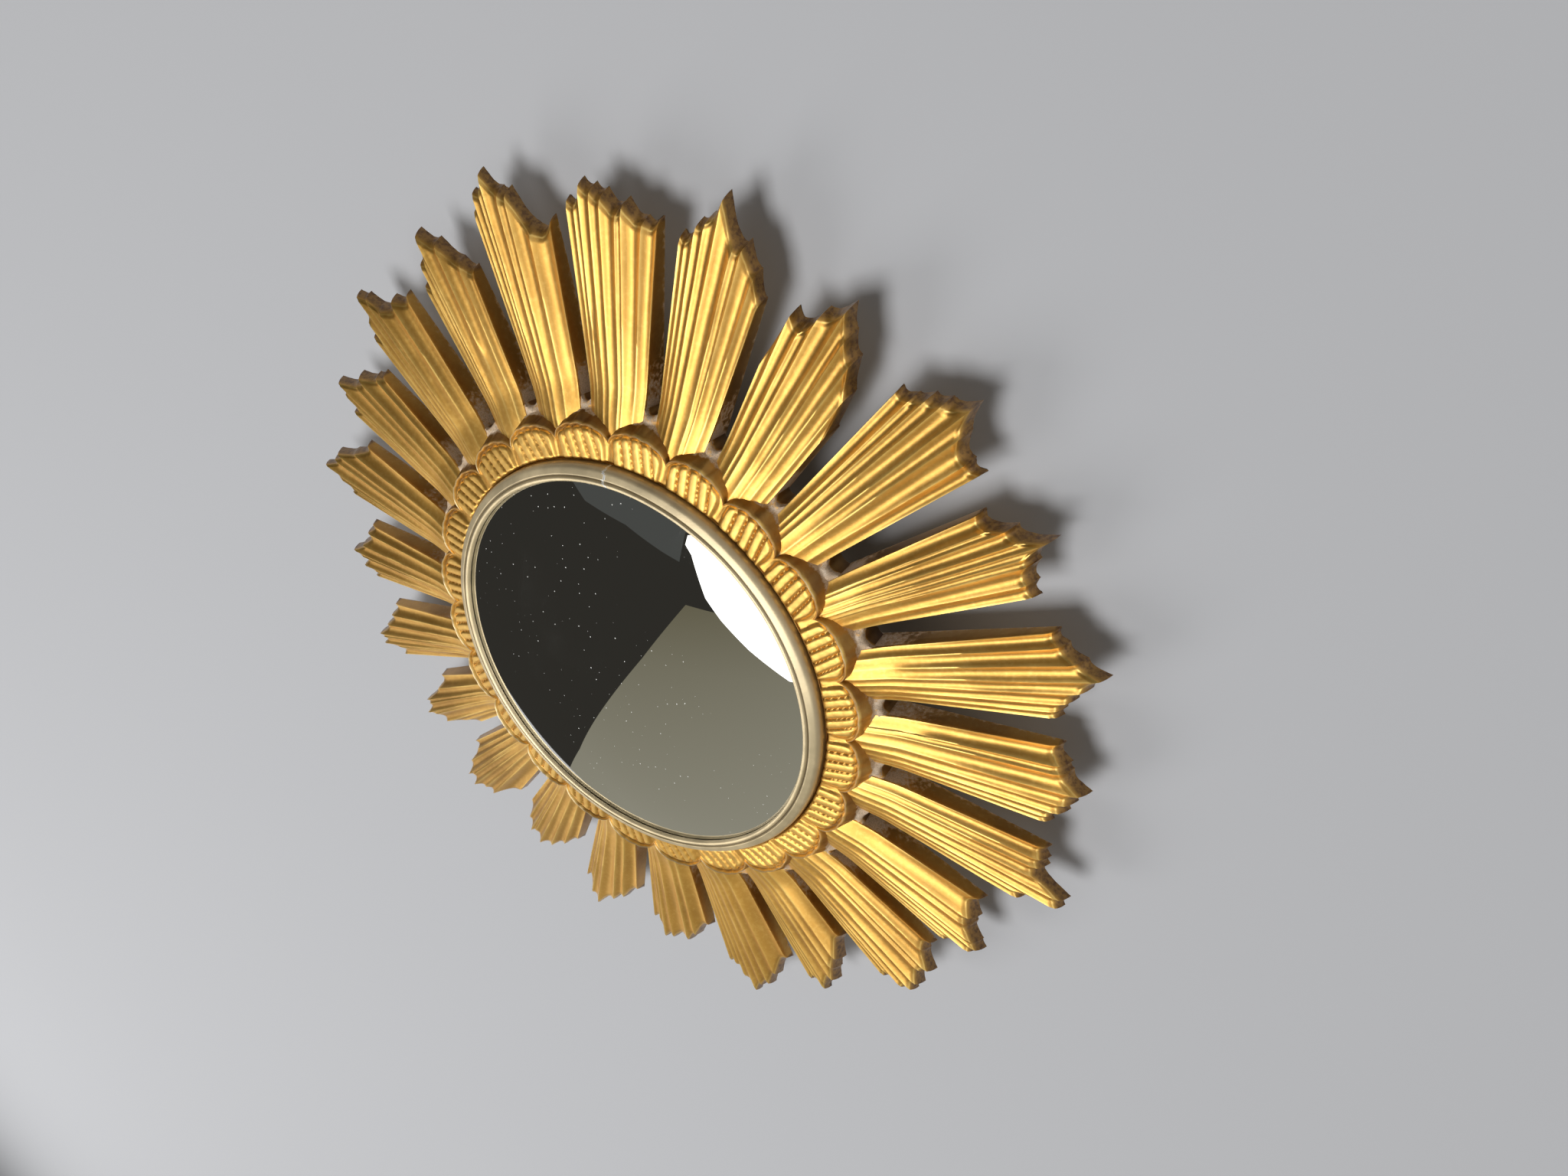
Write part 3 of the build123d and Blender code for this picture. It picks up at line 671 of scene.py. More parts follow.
def ray_shape(number):
    """One ray as (points, faces, values).

    The top is a grid of distance along the ray by angle across it. Its height is the crown's,
    less a share of the squared angle, less each flute's hollow, whose section is 4v(1-v) with
    soft ridges. The last rows run from the gold edge down the leaning end to the back.
    """
    flute, v, width, theta, cut = flute_columns(number)
    half = RAY_RIDGES[number][-1][0]
    first_seed = number * 7
    hump = 4.0 * v * (1.0 - v)
    soft = (np.sqrt(hump**2 + 0.2**2) - 0.2) / (np.sqrt(1.0 + 0.2**2) - 0.2)
    span = (RAY_REACH - cut) * np.radians(width)
    bite = TIP_BITE * span * (0.6 * hump + 0.4 * np.sin(np.pi * v) ** 2)
    chips = 0.25 * (1.2 + waver(first_seed + 6, theta * 9.0)) * ease(0.0, 0.3, hump)
    foot = RAY_REACH - cut - bite - chips
    crown_drop = RAY_CROWN * (theta / half) ** 2
    edge = foot - TIP_LEAN * (ray_crown_height(foot) - RAY_BACK - crown_drop)

    u = np.concatenate([np.linspace(0.0, 0.955, TOP_ROWS - 9), np.linspace(0.962, 1.0, 9)])[:, None]
    radius = RAY_ROOT + (edge - RAY_ROOT) * u
    deep = settings().flute_depth * ease(-0.55, 1.0, (radius - 150.0) / 90.0)
    wobble = 1.0 + 0.15 * waver(first_seed + 1, radius / 70.0, theta * 0.5)
    flute_depth = np.minimum(deep * (radius * np.radians(width)) * wobble, DEEPEST_FLUTE)
    dip = soft + 0.0 * radius
    for ray, ridge, start in RIDGE_STARTS:
        if ray == number:
            beside = ((flute == ridge) & (v < 0.5)) | ((flute + 1 == ridge) & (v >= 0.5))
            dip = dip + (1.0 - dip) * beside * ease(start + 8.0, start - 8.0, radius)
    height = ray_crown_height(radius) - crown_drop - flute_depth * dip
    height = height + 0.12 * waver(first_seed + 2, radius / 30.0, theta * 0.5)
    height = height - TIP_ROLL * ease(3.6, 0.0, edge - radius) ** 1.4
    sway = 0.07 * waver(first_seed + 3, radius / 30.0, theta * 0.7) * ease(0.0, 0.3, u)
    angle = theta + sway * (1.0 - (np.abs(theta) / half) ** 2)

    # The end, from the gold edge to its foot: straight, with a little of a quarter circle.
    t = np.array(TIP_ROWS)[:, None]
    out = 0.65 * t + 0.35 * np.sin(0.5 * np.pi * t)
    fall = 0.65 * t + 0.35 * (1.0 - np.cos(0.5 * np.pi * t))
    radius = np.concatenate([radius, edge + (foot - edge) * out])
    angle = np.concatenate([angle, np.repeat(angle[-1:], len(t), axis=0)])
    height = np.concatenate([height, height[-1] + (RAY_BACK - height[-1]) * fall])
    radius, angle, height = with_flanks(radius, angle, height)

    # The back, with a ring just inside the outline, so that its bare colour starts sharply.
    rows, columns = radius.shape
    turn = number * RAY_STEP
    points = round_place(radius, np.radians(angle + turn), height).reshape(-1, 3)
    left = np.arange(rows) * columns
    last = (rows - 1) * columns
    rim = np.concatenate([left, last + np.arange(1, columns), (left + columns - 1)[::-1][1:]])
    middle = (RAY_ROOT + RAY_REACH) / 2.0
    inset_radius = middle + (radius.ravel()[rim] - middle) * 0.993
    inset_turn = np.radians(angle.ravel()[rim] * 0.975 + turn)
    ring = len(points) + np.arange(len(rim))
    points = np.concatenate([points, round_place(inset_radius, inset_turn, RAY_BACK + 0.0 * inset_turn)])
    faces = list(grid_faces(rows, columns))
    faces.extend(np.stack([rim, np.roll(rim, -1), np.roll(ring, -1), ring], axis=1))
    faces.append(ring)
    faces.append(np.append([0, columns - 1], np.arange(columns - 2, 0, -1)))

    values = ray_values(first_seed, radius, angle, v, span, width / (2.0 * half))
    on_ring = {key: np.full(len(rim), float(key == "bare")) for key in values}
    return points, faces, {key: np.append(grid.ravel(), on_ring[key]) for key, grid in values.items()}


def ray_values(first_seed, radius, angle, v, span, width_share):
    """How much ridge, hollow, bevel and bare cast each of a ray's points has.

    A ridge fades as exp(-(d / 0.9 mm)^2) with its distance d; it paints gold polished by wear
    together with a painted highlight line along each ridge and along the tip's edge. A hollow is
    the square of 4v(1-v), less in a wide flute; it paints brown glaze together with painted shade,
    and the flanks get painted shade.
    """
    rows, columns = radius.shape
    side = np.ones((rows, columns))
    side[:, FLANK_COLUMNS:-FLANK_COLUMNS] = 0.0
    top = 1.0 - side
    top[TOP_ROWS:] = 0.0
    near_ridge = np.pad(np.exp(-((np.minimum(v, 1.0 - v) * span / 0.9) ** 2)), FLANK_COLUMNS)
    narrow = 0.35 + 0.65 * np.clip(1.4 - 4.0 * width_share, 0.0, 1.0)
    low = np.pad((4.0 * v * (1.0 - v)) ** 2 * narrow, FLANK_COLUMNS)
    streak = 0.6 + 0.4 * waver(first_seed + 4, radius / 14.0, angle * 2.0)
    # Painted highlight: a thin bright line along each ridge, partly gold polished by wear.
    ridge = top * near_ridge * np.clip(streak, 0.0, 1.0)
    # Painted highlight: the last rows of the top, along the tip's gold edge, are lit bright.
    tip_edge_highlight = (slice(TOP_ROWS - 2, TOP_ROWS), slice(FLANK_COLUMNS, -FLANK_COLUMNS))
    ridge[tip_edge_highlight] = np.maximum(ridge[tip_edge_highlight], 0.75)
    # Brown glaze plus painted shade in the flutes, and painted shade on the flanks.
    hollow = np.maximum(top * low * 0.46 * ease(150.0, 210.0, radius), side * 0.55)
    bevel = np.zeros((rows, columns))
    bevel[TOP_ROWS - 1 :] = np.array([0.0, 0.2, 0.5, 0.85, 1.0, 1.0, 1.0])[:, None]
    dusty_side = side * (1.0 - ease(158.0, 200.0, radius)) * 0.8
    dusty = np.maximum(dusty_side, (1.0 - ease(143.0, 149.5, radius)) * 0.45)
    patchy = 0.2 * waver(first_seed + 5, radius / 6.0, angle * 3.0) * (dusty > 0)
    bare = np.clip(dusty + patchy, 0.0, 1.0)
    bare[:, [0, -1]] = 0.5
    return {"ridge": ridge, "hollow": hollow, "bevel": bevel, "bare": bare}


def petal_outline(angle):
    """The petals' rim: 24 arches that meet in sharp notches, with small scallops.

    R = notch + arch (1 - |a / half|^2.3)^0.6 + a ripple of five lobes that fades to the notches.
    Also the angle from the petal's middle, and its share of half a petal.
    """
    half = RAY_STEP / 2.0
    local = (angle + half) % RAY_STEP - half
    share = np.abs(local) / half
    arch = (1.0 - np.minimum(share, 0.999) ** 2.3) ** 0.6
    lobes = np.abs(np.cos(np.pi * 2.5 * local / half)) * 0.55 * (1.0 - share**3)
    return PETAL_NOTCH + PETAL_ARCH * arch + lobes, local, share


def petal_top(angle, outline, local, share, rim_height):
    """The petals' top short of the rim, as (radius, height, ridge, hollow).

    With w from -1 to 1 across a reed, its section is 1 - 0.22 w^2 - 0.78 |w|^7, and an ellipse
    closes its outer end. Reeds lean from the radius. The rim is a bead exp(-(d / 1 mm)^2).
    """
    s = np.concatenate([np.linspace(0.0, 0.8, 20), np.linspace(0.83, 1.0, 12)])[:-1, None]
    radius = PETAL_INNER + (outline - PETAL_INNER) * s
    petal = np.floor(angle / RAY_STEP).astype(int) % RAY_COUNT
    shift = np.random.default_rng(5).uniform(-0.06, 0.06, RAY_COUNT)[petal]
    sideways = radius * np.radians(local) - np.tan(settings().reed_lean) * (radius - 141.0)
    place_in_row = sideways / REED_WIDTH + 0.5 + shift
    w = 2.0 * (place_in_row - np.floor(place_in_row)) - 1.0
    room = (np.abs(place_in_row - 0.5) < REED_COUNT / 2.0) * (1.0 - ease(0.80, 0.93, share))
    end_room = outline - 2.0 - radius - 1.6 * w**4
    round_end = np.sqrt(np.clip(1.0 - np.clip(1.0 - end_room / 2.8, 0.0, 1.0) ** 2, 0.0, 1.0))
    pillow = (1.0 - 0.22 * w**2 - 0.78 * np.abs(w) ** 7) * round_end * room

    ground = PETAL_GROUND + PETAL_GROUND_RISE * (1.0 - s) ** 1.2
    ground = ground + 0.3 * waver(11, radius / 9.0, angle / 5.0)
    swell = 0.72 + 0.28 * ease(PETAL_INNER, 132.4, radius)
    bead = np.exp(-((outline - radius) ** 2))
    shoulder = 0.55 * ease(1.5, 0.2, outline - radius)
    rim = ground + (rim_height - ground) * np.maximum(bead, shoulder)
    height = np.maximum(ground + REED_HEIGHT * pillow * swell, rim)
    height = height - 0.8 * (1.0 - ease(PETAL_INNER, 131.5, radius))
    # Painted highlight: the rim bead's value over 1 paints a pale line, and the reed tops a faint one.
    ridge = np.maximum(bead * 1.6, 0.3 * (pillow > 0.93))
    # Painted shade in the grooves between the reeds and at their rounded ends.
    hollow = (1.0 - pillow) ** 2.5 * (1.0 - bead) * (0.2 + 0.8 * room) * 0.85
    return radius, height, ridge, hollow


def casting_shape():
    """The round body with its petals and web, as a closed tube: (points, faces, values).

    Columns run round the axis and rows round the section: petals, rim, cove, web and its edge,
    then the corners of the casting's section. The cove falls as 0.55t + 0.45t^2 and a soft bulge.
    """
    angle = np.linspace(0.0, 360.0, RAY_COUNT * 48, endpoint=False)[None, :]
    outline, local, share = petal_outline(angle - RAY_STEP / 2.0)
    rim_height = PETAL_RIM - 1.2 * share**4 + 0.2 * waver(12, angle / 4.0)
    top_radius, top_height, top_ridge, top_hollow = petal_top(angle, outline, local, share, rim_height)

    # The web goes from the middle of each gap, where to_ray is 0, to just under the rays, past 1.
    ray = np.round(angle / RAY_STEP).astype(int)
    ray_half = np.array([ridges[-1][0] for ridges in RAY_RIDGES])[ray % RAY_COUNT]
    half = RAY_STEP / 2.0
    to_ray = (half - np.abs(angle - ray * RAY_STEP)) / (half - ray_half)
    under = ease(1.05, 1.6, to_ray)
    web_edge = WEB_EDGE + 2.4 * np.minimum(to_ray, 1.2) ** 2 + 3.5 * under
    web_height = WEB_HEIGHT - 2.4 * np.minimum(to_ray, 1.0) ** 2 - 4.0 * under
    foot = np.minimum(outline + 4.6, web_edge - 0.8)

    t = np.array((0.04, 0.12, 0.25, 0.4, 0.55, 0.7, 0.84, 0.95, 1.0))[:, None]
    fall = 0.55 * t + 0.45 * t**2 + 0.08 * np.sin(np.pi * t)
    cove_radius = outline + (foot - outline) * t
    cove_height = rim_height - (rim_height - web_height) * fall
    cove_height = cove_height + 0.3 * waver(13, angle / 3.0, cove_radius / 4.0)

    t = np.array((0.3, 0.65, 1.0))[:, None]
    web_radius = foot + (web_edge - foot) * t
    lumps = 0.7 * waver(14, angle * 1.1, web_radius / 1.7) + 0.5 * waver(15, angle * 3.0, web_radius)
    web_lip = web_height - 3.6 + 0.4 * waver(16, angle * 2.0)

    bands = (
        (top_radius, top_height, "top"),
        (outline, rim_height + 0.05, "rim"),
        (cove_radius, cove_height, "cove"),
        (web_radius, web_height - 0.2 + lumps - 1.4 * t**2, "web"),
        (web_edge + 0.5, web_lip, "web"),
        (web_edge + 0.5, web_height - 5.4, "edge"),
        (web_edge + 0.3, CASTING_BACK + 0.8, "edge"),
        (web_edge - 0.4, CASTING_BACK, "back"),
        *CASTING_SECTION,
    )
    radius = np.concatenate([r + 0.0 * angle for r, _, _ in bands])
    height = np.concatenate([h + 0.0 * r + 0.0 * angle for r, h, _ in bands])
    kind = np.concatenate([[k] * len(np.atleast_2d(r)) for r, _, k in bands])[:, None]
    turn = np.radians(angle + 0.0 * radius)
    points = round_place(radius, turn, height).reshape(-1, 3)
    faces = grid_faces(*radius.shape, True, True)

    rim_row = len(top_radius)
    ridge = np.zeros(radius.shape)
    ridge[:rim_row] = top_ridge
    # Painted highlight: a pale line along the petals' rim.
    ridge[rim_row : rim_row + 3] = np.array([1.6, 1.4, 0.7])[:, None]
    hollow = np.zeros(radius.shape)
    hollow[:rim_row] = top_hollow
    # Painted shade: the cove under the rim, the moat under the strip and the web's outer edge are darkened.
    hollow = np.maximum(hollow, (kind == "cove") * ease(0.6, 1.7, rim_height - height) * 0.92)
    hollow = np.maximum(hollow, (kind == "moat") * 0.95 + (kind == "edge") * 1.0)
    web_dust = (kind == "web") * (0.75 + 0.3 * waver(17, turn * 40.0, radius / 2.0))
    cove_foot = (kind == "cove") * ease(WEB_HEIGHT + 2.9, WEB_HEIGHT, height) * 0.75
    notch = (kind == "cove") * ease(0.93, 0.99, share) * 0.5
    bare = np.maximum(np.maximum(web_dust, cove_foot), np.maximum(notch, (kind == "back") * 1.0))
    bare = np.clip(bare, 0.0, 1.0)
    return points, faces, {"ridge": ridge, "hollow": hollow, "bevel": 0.0 * ridge, "bare": bare}


def strip_shape():
    """The strip's rounded section turned from one side of its joint to the other.

    The joint's two faces follow one zigzag in the angle, so they fit together with a thin gap.
    """
    section = np.array(STRIP_SECTION)
    profile = rounded_profile(section[:, :2], section[:, 2], 6)
    out, up = profile[:, :1], profile[:, 1:]
    zigzag = 0.85 * waver(31, out * 0.9) + 0.25 * waver(32, out * 3.1) + 0.03 * (out - 124.8)
    gap = np.degrees(STRIP_JOINT_GAP / 2.0 / 126.0)
    start = STRIP_JOINT_DEGREES + gap + zigzag
    end = STRIP_JOINT_DEGREES + 360.0 - gap + zigzag
    close = np.array([0.0, 0.0002, 0.0005, 0.0009])
    t = np.concatenate([close, np.linspace(0.002, 0.998, 392), 1.0 - close[::-1]])[None, :]
    angle = start + (end - start) * t
    points = round_place(out + 0.0 * angle, np.radians(angle), up + 0.08 * waver(33, angle / 9.0))
    rows, columns = angle.shape
    ring = np.arange(rows) * columns
    faces = list(grid_faces(rows, columns, True, False)) + [ring, (ring + columns - 1)[::-1]]
    # The hollow value marks painted shade in the groove and on the low outer wall; the ridge value marks a
    # painted highlight on the inner lip's crest.
    low = np.exp(-(((out - STRIP_GROOVE) / 0.45) ** 2)) * (up > 55.6)
    values = {
        "hollow": np.maximum(low, (up < 51.5) * 0.8) + 0.0 * t,
        "ridge": np.exp(-(((out - 120.9) / 0.9) ** 2)) * (up > 56.5) + 0.0 * t,
        "bare": np.exp(-((np.minimum(t, 1.0 - t) * 360.0 / 0.25) ** 2)) + 0.0 * out,
    }
    return points.reshape(-1, 3), faces, values


def ring_path(steps=14):
    """The hanging ring's closed (x, z) path: its corners, each rounded by an arc.

    The arc's centre c lies on the corner's bisector. Between the arc's ends a0 and a1, with a
    sweep of s, P = c + (sin((1-t) s) a0 + sin(t s) a1) / sin s.
    """
    corners = np.array(RING_CORNERS)
    t = np.linspace(0.0, 1.0, steps)[:, None]
    path = []
    for before, corner, after in zip(np.roll(corners, 1, axis=0), corners, np.roll(corners, -1, axis=0)):
        to_before = (before - corner) / np.linalg.norm(before - corner)
        to_after = (after - corner) / np.linalg.norm(after - corner)
        half = np.arccos(np.dot(to_before, to_after)) / 2.0
        inward = (to_before + to_after) / np.linalg.norm(to_before + to_after)
        centre = corner + inward * RING_BEND / np.sin(half)
        a0 = corner + to_before * RING_BEND / np.tan(half) - centre
        a1 = corner + to_after * RING_BEND / np.tan(half) - centre
        sweep = np.pi - 2.0 * half
        path.append(centre + (np.sin((1 - t) * sweep) * a0 + np.sin(t * sweep) * a1) / np.sin(sweep))
    return np.concatenate(path)


def ring_shape():
    """A round wire carried along the hanging ring's path."""
    path = ring_path()
    ahead = np.roll(path, -1, axis=0) - np.roll(path, 1, axis=0)
    ahead = ahead / np.linalg.norm(ahead, axis=1, keepdims=True)
    line = np.insert(path, 1, -EYE_HEIGHT, axis=1)
    side = np.stack([ahead[:, 1], np.zeros(len(path)), -ahead[:, 0]], axis=1)
    up = np.tile([0.0, -1.0, 0.0], (len(path), 1))
    turn = np.linspace(0.0, 2.0 * np.pi, 20, endpoint=False)
    return carried(WIRE_RADIUS * np.stack([np.cos(turn), np.sin(turn)], axis=1), line, side, up)


def strap_shape():
    """The strap as (points, faces): a flat plate, and an eye rolled round the ring's straight side.

    The plate is an eight-cornered section along Z, drawn in at its end by an ellipse. The eye is
    the space between two arcs of one centre, carried across the strap's width.
    """
    z = np.linspace(EYE_Z - STRAP_LENGTH, EYE_Z - 0.2, 30)
    drawn_in = np.clip((EYE_Z - STRAP_LENGTH + 2.0 - z) / 2.0, 0.0, 1.0) ** 2 * 0.35
    wide = STRAP_HALF_WIDTH * np.sqrt(1.0 - drawn_in)
    edge = wide - 0.2
    x = np.stack([-wide, -edge, edge, wide, wide, edge, -edge, -wide], axis=1)
    h = np.array([4.6, 4.4, 4.4, 4.6, 5.8, 6.0, 6.0, 5.8]) + 0.0 * x
    plate = np.stack([x, -h, z[:, None] + 0.0 * x], axis=-1).reshape(-1, 3) * MM
    plate_faces = list(grid_faces(len(z), 8, False, True))
    plate_faces += [np.arange(8)[::-1], (len(z) - 1) * 8 + np.arange(8)]

    roll = np.linspace(np.radians(-118.0), np.radians(175.0), 40)
    arc = np.stack([np.cos(roll), np.sin(roll)], axis=1)
    loop = np.concatenate([2.5 * arc, 1.3 * arc[::-1]]) + np.array([EYE_HEIGHT, EYE_Z])
    x = np.array([[-STRAP_HALF_WIDTH], [STRAP_HALF_WIDTH]]) + 0.0 * loop[:, 0]
    eye = np.stack([x, -loop[:, 0] + 0.0 * x, loop[:, 1] + 0.0 * x], axis=-1).reshape(-1, 3) * MM
    i = np.arange(len(roll) - 1)
    cap = np.stack([i, i + 1, len(loop) - 2 - i, len(loop) - 1 - i], axis=1)
    eye_faces = list(grid_faces(2, len(loop), False, True)) + list(cap) + list(cap[:, ::-1] + len(loop))
    return joined([(plate, plate_faces), (eye, eye_faces)])


def cast_gold():
    """The casting's finish, made the first time that it is asked for."""
    return bpy.data.materials.get("gilt_cast") or gilt_finish("gilt_cast")


class SUNBURST_OT_rays(bpy.types.Operator):
    """Make the rays: fluted, with stepped tips that lean back"""

    bl_idname = "sunburst.rays"
    bl_label = "Rays"

    def execute(self, context):
        """Six rays to a piece."""
        gilt = cast_gold()
        for piece_number, first in enumerate(range(0, RAY_COUNT, 6)):
            shapes = [ray_shape(n) for n in range(first, first + 6)]
            points, faces = joined([(p, f) for p, f, _ in shapes])
            values = {k: np.concatenate([s[2][k] for s in shapes]) for k in shapes[0][2]}
            piece = add_piece(f"rays_{piece_number + 1}", points, faces, values, sharp=50)
            place(piece, ["sunburst_frame"], gilt)
        return {"FINISHED"}


class SUNBURST_OT_casting(bpy.types.Operator):
    """Make the round body with its petals, its web and its back"""

    bl_idname = "sunburst.casting"
    bl_label = "Petals and body"

    def execute(self, context):
        """One closed tube."""
        gilt = cast_gold()
        points, faces, values = casting_shape()
        piece = add_piece("petals_and_body", points, faces, values, sharp=60)
        place(piece, ["sunburst_frame"], gilt)
        return {"FINISHED"}


class SUNBURST_OT_bezel(bpy.types.Operator):
    """Make the bezel strip with its ragged joint"""

    bl_idname = "sunburst.bezel"
    bl_label = "Bezel strip"

    def execute(self, context):
        """One strip, open at its joint."""
        points, faces, values = strip_shape()
        piece = add_piece("bezel", points, faces, values, sharp=50)
        place(piece, ["bezel_strip"], strip_finish())
        return {"FINISHED"}


class SUNBURST_OT_glass(bpy.types.Operator):
    """Make the convex glass and the felt under its edge"""

    bl_idname = "sunburst.glass"
    bl_label = "Glass"

    def execute(self, context):
        """The glass's front and back are parts of two balls with one centre.

        With r the sight line's radius and h the rise, the front ball's radius is
        (r^2 + h^2) / 2h.
        """
        rise = settings().glass_rise / MM
        ball = (SIGHT_RADIUS**2 + rise**2) / (2.0 * rise)
        centre = SIGHT_HEIGHT + rise - ball
        out = np.linspace(0.0, 124.4, 70)
        front = np.stack([out, centre + np.sqrt(ball**2 - out**2)], axis=1)
        out = np.linspace(124.6, 0.0, 40)
        back = np.stack([out, centre + np.sqrt((ball - GLASS_THICKNESS) ** 2 - out**2)], axis=1)
        front_edge, back_edge = front[-1, 1], back[0, 1]
        edge = [(124.85, front_edge - 0.35), (125.0, front_edge - 0.8), (125.0, back_edge + 0.4)]
        points, faces = capped_turned(np.concatenate([front, edge, back]), 256)
        piece = add_piece("glass", points, faces, sharp=50)
        place(piece, ["convex_mirror"], glass_finish())

        felt = plain_finish("black_felt", (0.02, 0.02, 0.02), 0.0, 0.9, 2500.0, 0.0006)
        corners = ((119.7, 47.6), (124.7, 47.6), (124.7, 49.9), (119.7, 49.9))
        points, faces = turned(rounded_profile(corners, (0.4, 0.4, 0.8, 0.8), 4), 180)
        piece = add_piece("felt_ring", points, faces, sharp=50)
        place(piece, ["packing_ring"], felt)
        return {"FINISHED"}


class SUNBURST_OT_back(bpy.types.Operator):
    """Finish the board, its pins and the wall pads"""

    bl_idname = "sunburst.back"
    bl_label = "Back"

    def execute(self, context):
        """Turned shapes for the board, the pins and the pads."""
        hardboard = plain_finish("hardboard", (0.27, 0.15, 0.075), 0.0, 0.6, 900.0, 0.0004, 0.72)
        corners = ((0.0, 11.0), (110.0, 11.0), (110.0, 7.8), (0.0, 7.8))
        points, faces = capped_turned(rounded_profile(corners, (0, 0.2, 0.5, 0), 4), 200)
        piece = add_piece("board", points, faces, sharp=40)
        place(piece, ["backing_board"], hardboard)

        brass = plain_finish("pin_brass", (0.62, 0.44, 0.16), 0.9, 0.3, 3000.0, 0.0001)
        pin = np.array(PIN_PROFILE)
        points, faces = joined([capped_turned(pin, 20, c) for c in round_places(PIN_CIRCLE, 8, 22.5)])
        piece = add_piece("pins", points, faces, sharp=40)
        place(piece, ["backing_pins"], brass)

        rubber = plain_finish("pad_rubber", (0.022, 0.022, 0.024), 0.0, 0.75, 1800.0, 0.0003)
        pad = rounded_profile(((0, 6.0), (8.0, 6.0), (7.9, 0.0), (0, 0.0)), (0, 0.2, 1.6, 0), 6)
        points, faces = joined([capped_turned(pad, 48, c) for c in round_places(PAD_CIRCLE, 4, 45.0)])
        piece = add_piece("pads", points, faces, sharp=40)
        place(piece, ["wall_pads"], rubber)
        return {"FINISHED"}


class SUNBURST_OT_hanger(bpy.types.Operator):
    """Make the hanging ring, its strap and the screws"""

    bl_idname = "sunburst.hanger"
    bl_label = "Hanger"

    def execute(self, context):
        """Steel with its grain along Z, and two yellow screws through the strap."""
        steel = plain_finish(
            "hanger_steel", (0.60, 0.60, 0.58), 1.0, 0.32, 900.0, 0.0001, 0.75, (1.0, 1.0, 12.0)
        )
        piece = add_piece("ring", *ring_shape(), sharp=60)
        place(piece, ["hanger_ring"], steel, "hanger")

        steel = plain_finish(
            "strap_steel", (0.55, 0.55, 0.53), 1.0, 0.36, 700.0, 0.0001, 0.75, (1.0, 1.0, 10.0)
        )
        piece = add_piece("strap", *strap_shape(), sharp=35)
        place(piece, ["hanger_strap"], steel)

        zinc = plain_finish("screw_zinc", (0.60, 0.55, 0.42), 1.0, 0.35, 1500.0, 0.0001)
        screw = np.array(SCREW_PROFILE)
        first = EYE_Z - STRAP_LENGTH + FIRST_SCREW
        places = [(0.0, first + SCREW_PITCH * i) for i in range(2)]
        points, faces = joined([capped_turned(screw, 28, c) for c in places])
        piece = add_piece("screws", points, faces, sharp=40)
        place(piece, ["hanger_screws"], zinc)
        return {"FINISHED"}


# The stage


def seen_from_the_front(name, colour, glow, middle):
    """A matt backdrop that only eyes and reflections in front of it see: nothing else meets it.

    Its colour falls smoothly to the share called middle behind the mirror, from the outer to the
    inner shade radius: a painted shadow where little light comes in.
    """
    material = bpy.data.materials.new(name)
    n = Nodes(material, "ShaderNodeOutputMaterial")
    spot = n.node("ShaderNodeTexCoord").outputs["Object"]
    flat = n.node("ShaderNodeVectorMath", (spot, (1.0, 0.0, 1.0)), operation="MULTIPLY")
    away = n.node("ShaderNodeVectorMath", (flat.outputs["Vector"],), operation="LENGTH")
    # Painted shadow: the wall darkens towards the mirror's axis.
    share = n.step(away.outputs["Value"], SHADE_INNER, SHADE_OUTER)
    diffuse = n.node("ShaderNodeBsdfDiffuse", (n.mix(share, toned(colour, middle), colour),))
    own = n.node("ShaderNodeEmission", (colour, glow))
    matt = n.node("ShaderNodeAddShader", (diffuse.outputs[0], own.outputs[0]))
    path = n.node("ShaderNodeLightPath")
    eye = n.math("MAXIMUM", path.outputs["Is Camera Ray"], path.outputs["Is Glossy Ray"])
    front = n.math("SUBTRACT", 1.0, n.node("ShaderNodeNewGeometry").outputs["Backfacing"])
    n.choose(n.math("MULTIPLY", front, eye), n.node("ShaderNodeBsdfTransparent"), matt)
    return material


def direction(azimuth, elevation):
    """A direction in front of the mirror: azimuth to the viewer's right, elevation upwards."""
    a, e = np.radians(azimuth), np.radians(elevation)
    return np.stack([np.sin(a) * np.cos(e), -np.cos(a) * np.cos(e), np.sin(e) + 0.0 * a], axis=-1)


def reflection_card(name, corners, distance, colour, strength=1.0, far=None):
    """A glowing card that only reflections see: a fan of corners, or a dome where there are none.

    Its colour goes evenly to the far one with the distance to the viewer's left.
    """
    if corners is None:
        degrees = np.linspace(-89.0, 89.0, 25)
        azimuth, elevation = (grid.ravel() for grid in np.meshgrid(degrees, degrees))
        faces = grid_faces(25, 25)
    else:
        azimuth, elevation = np.array(corners, float).T
        faces = [np.arange(len(corners))]
    piece = add_piece(name, direction(azimuth, elevation) * distance, faces)
    material = bpy.data.materials.new(name)
    n = Nodes(material, "ShaderNodeOutputMaterial")
    spot = n.node("ShaderNodeTexCoord").outputs["Object"]
    axes = n.node("ShaderNodeSeparateXYZ", (spot,))
    share = n.step(axes.outputs["X"], FADE_START, FADE_END, curve="LINEAR")
    glow = n.node("ShaderNodeEmission", (n.mix(share, colour, far or colour), strength))
    n.fill(n.output, 0, glow.outputs[0])
    piece.data.materials.append(material)
    for rays in ("camera", "diffuse", "shadow", "transmission"):
        setattr(piece, f"visible_{rays}", False)


def soft_lamp(name, spot, size, power):
    """A white area lamp aimed at the origin."""
    data = bpy.data.lights.new(name, "AREA")
    data.shape = "RECTANGLE"
    data.size, data.size_y = size
    data.energy = power
    lamp = bpy.data.objects.new(name, data)
    bpy.context.scene.collection.objects.link(lamp)
    back = np.array(spot) / np.linalg.norm(spot)
    right = np.cross((0.0, 0.0, 1.0), back)
    right = right / np.linalg.norm(right)
    lamp.matrix_world = placed(right, np.cross(back, right), back, spot)


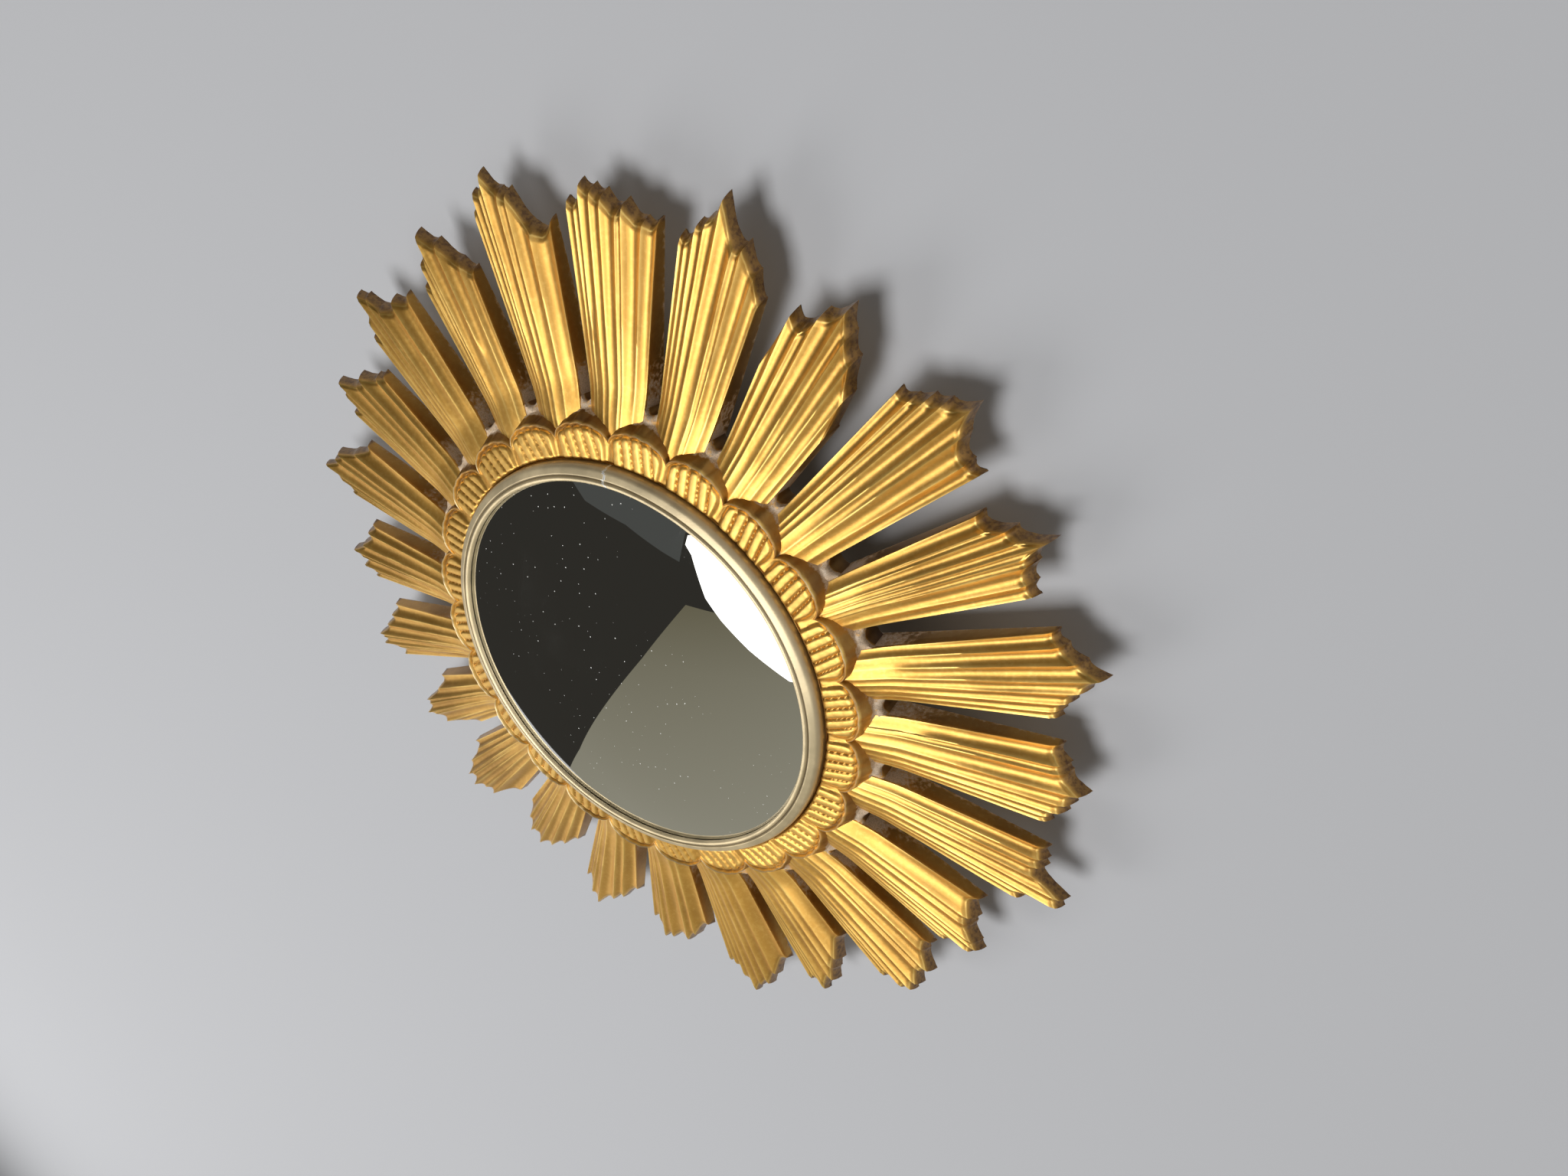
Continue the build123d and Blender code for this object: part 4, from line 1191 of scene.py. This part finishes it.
def placed(right, up, back, spot):
    """The matrix that puts an object's X, Y and Z axes along three directions, at a spot."""
    return Matrix([list(row) for row in zip(right, up, back, spot)] + [[0.0, 0.0, 0.0, 1.0]])


class SUNBURST_OT_stage(bpy.types.Operator):
    """Make the wall, the floor, the lamps and the camera"""

    bl_idname = "sunburst.stage"
    bl_label = "Stage"

    def execute(self, context):
        """A pale wall behind the mirror, a pale floor, and a window's light from the front."""
        scene = context.scene
        for name, corners, glow, middle in BACKDROPS:
            piece = add_piece(name, np.array(corners, float), np.array([[0, 1, 2, 3]]))
            paint = seen_from_the_front(f"pale_{name}", tuple(settings().wall), glow, middle)
            piece.data.materials.append(paint)

        reflection_card("room_dark", None, 3.15, (0.032, 0.030, 0.026))
        reflection_card("room_side", SIDE_CARD, 3.0, (0.150, 0.136, 0.090), far=(0.37, 0.36, 0.30))
        reflection_card("room_window", WINDOW_CARD, 2.9, (1.0, 1.0, 1.0), 2.4)
        reflection_card("room_edge", EDGE_CARD, 2.95, (0.075, 0.078, 0.075))

        soft_lamp("window", (-0.45, -3.35, 0.5), (1.8, 1.5), 96.0)
        soft_lamp("overhead", (-1.2, -1.9, 2.9), (2.0, 1.4), 50.0)
        soft_lamp("back_fill", (0.3, 2.2, 0.6), (2.0, 2.0), 13.0)

        scene.world = bpy.data.worlds.new("studio")
        n = Nodes(scene.world, "ShaderNodeOutputWorld")
        light = n.node("ShaderNodeBackground", ((1.0, 0.98, 0.95), 0.19))
        shown = n.node("ShaderNodeBackground", ((0.72, 0.73, 0.75), 1.0))
        n.choose(n.node("ShaderNodeLightPath").outputs["Is Camera Ray"], light, shown)

        data = bpy.data.cameras.new("camera")
        data.sensor_fit = "HORIZONTAL"
        data.sensor_width = SENSOR_WIDTH
        data.lens = SENSOR_WIDTH * PHOTO_FOCAL_PIXELS / PHOTO_WIDTH
        data.clip_start = 0.01
        camera = bpy.data.objects.new("camera", data)
        scene.collection.objects.link(camera)
        camera.matrix_world = placed(CAMERA_RIGHT, CAMERA_UP, CAMERA_BACK, CAMERA_PLACE)
        scene.camera = camera
        scene.view_settings.view_transform = "Standard"
        return {"FINISHED"}


class SUNBURST_PT_panel(bpy.types.Panel):
    """The sidebar's list of the mirror's pieces"""

    bl_idname = "SUNBURST_PT_panel"
    bl_label = "Sunburst mirror"
    bl_space_type = "VIEW_3D"
    bl_region_type = "UI"
    bl_category = "Sunburst"

    def draw(self, context):
        """Settings above, a button for each operator below."""
        look = context.scene.sunburst
        for name in SunburstSettings.__annotations__:
            self.layout.prop(look, name)
        for operator in OPERATORS:
            self.layout.operator(operator.bl_idname)


OPERATORS = (
    SUNBURST_OT_stage,
    SUNBURST_OT_rays,
    SUNBURST_OT_casting,
    SUNBURST_OT_bezel,
    SUNBURST_OT_glass,
    SUNBURST_OT_back,
    SUNBURST_OT_hanger,
)
CLASSES = (SunburstSettings, *OPERATORS, SUNBURST_PT_panel)


def register():
    """Adds the classes and the scene's settings."""
    for item in CLASSES:
        bpy.utils.register_class(item)
    bpy.types.Scene.sunburst = bpy.props.PointerProperty(type=SunburstSettings)


def unregister():
    """Takes them away again."""
    del bpy.types.Scene.sunburst
    for item in reversed(CLASSES):
        bpy.utils.unregister_class(item)


def main():
    """Builds the mirror."""
    register()
    bpy.ops.sunburst.stage()
    bpy.ops.sunburst.rays()
    bpy.ops.sunburst.casting()
    bpy.ops.sunburst.bezel()
    bpy.ops.sunburst.glass()
    bpy.ops.sunburst.back()
    bpy.ops.sunburst.hanger()


if __name__ == "__main__":
    main()
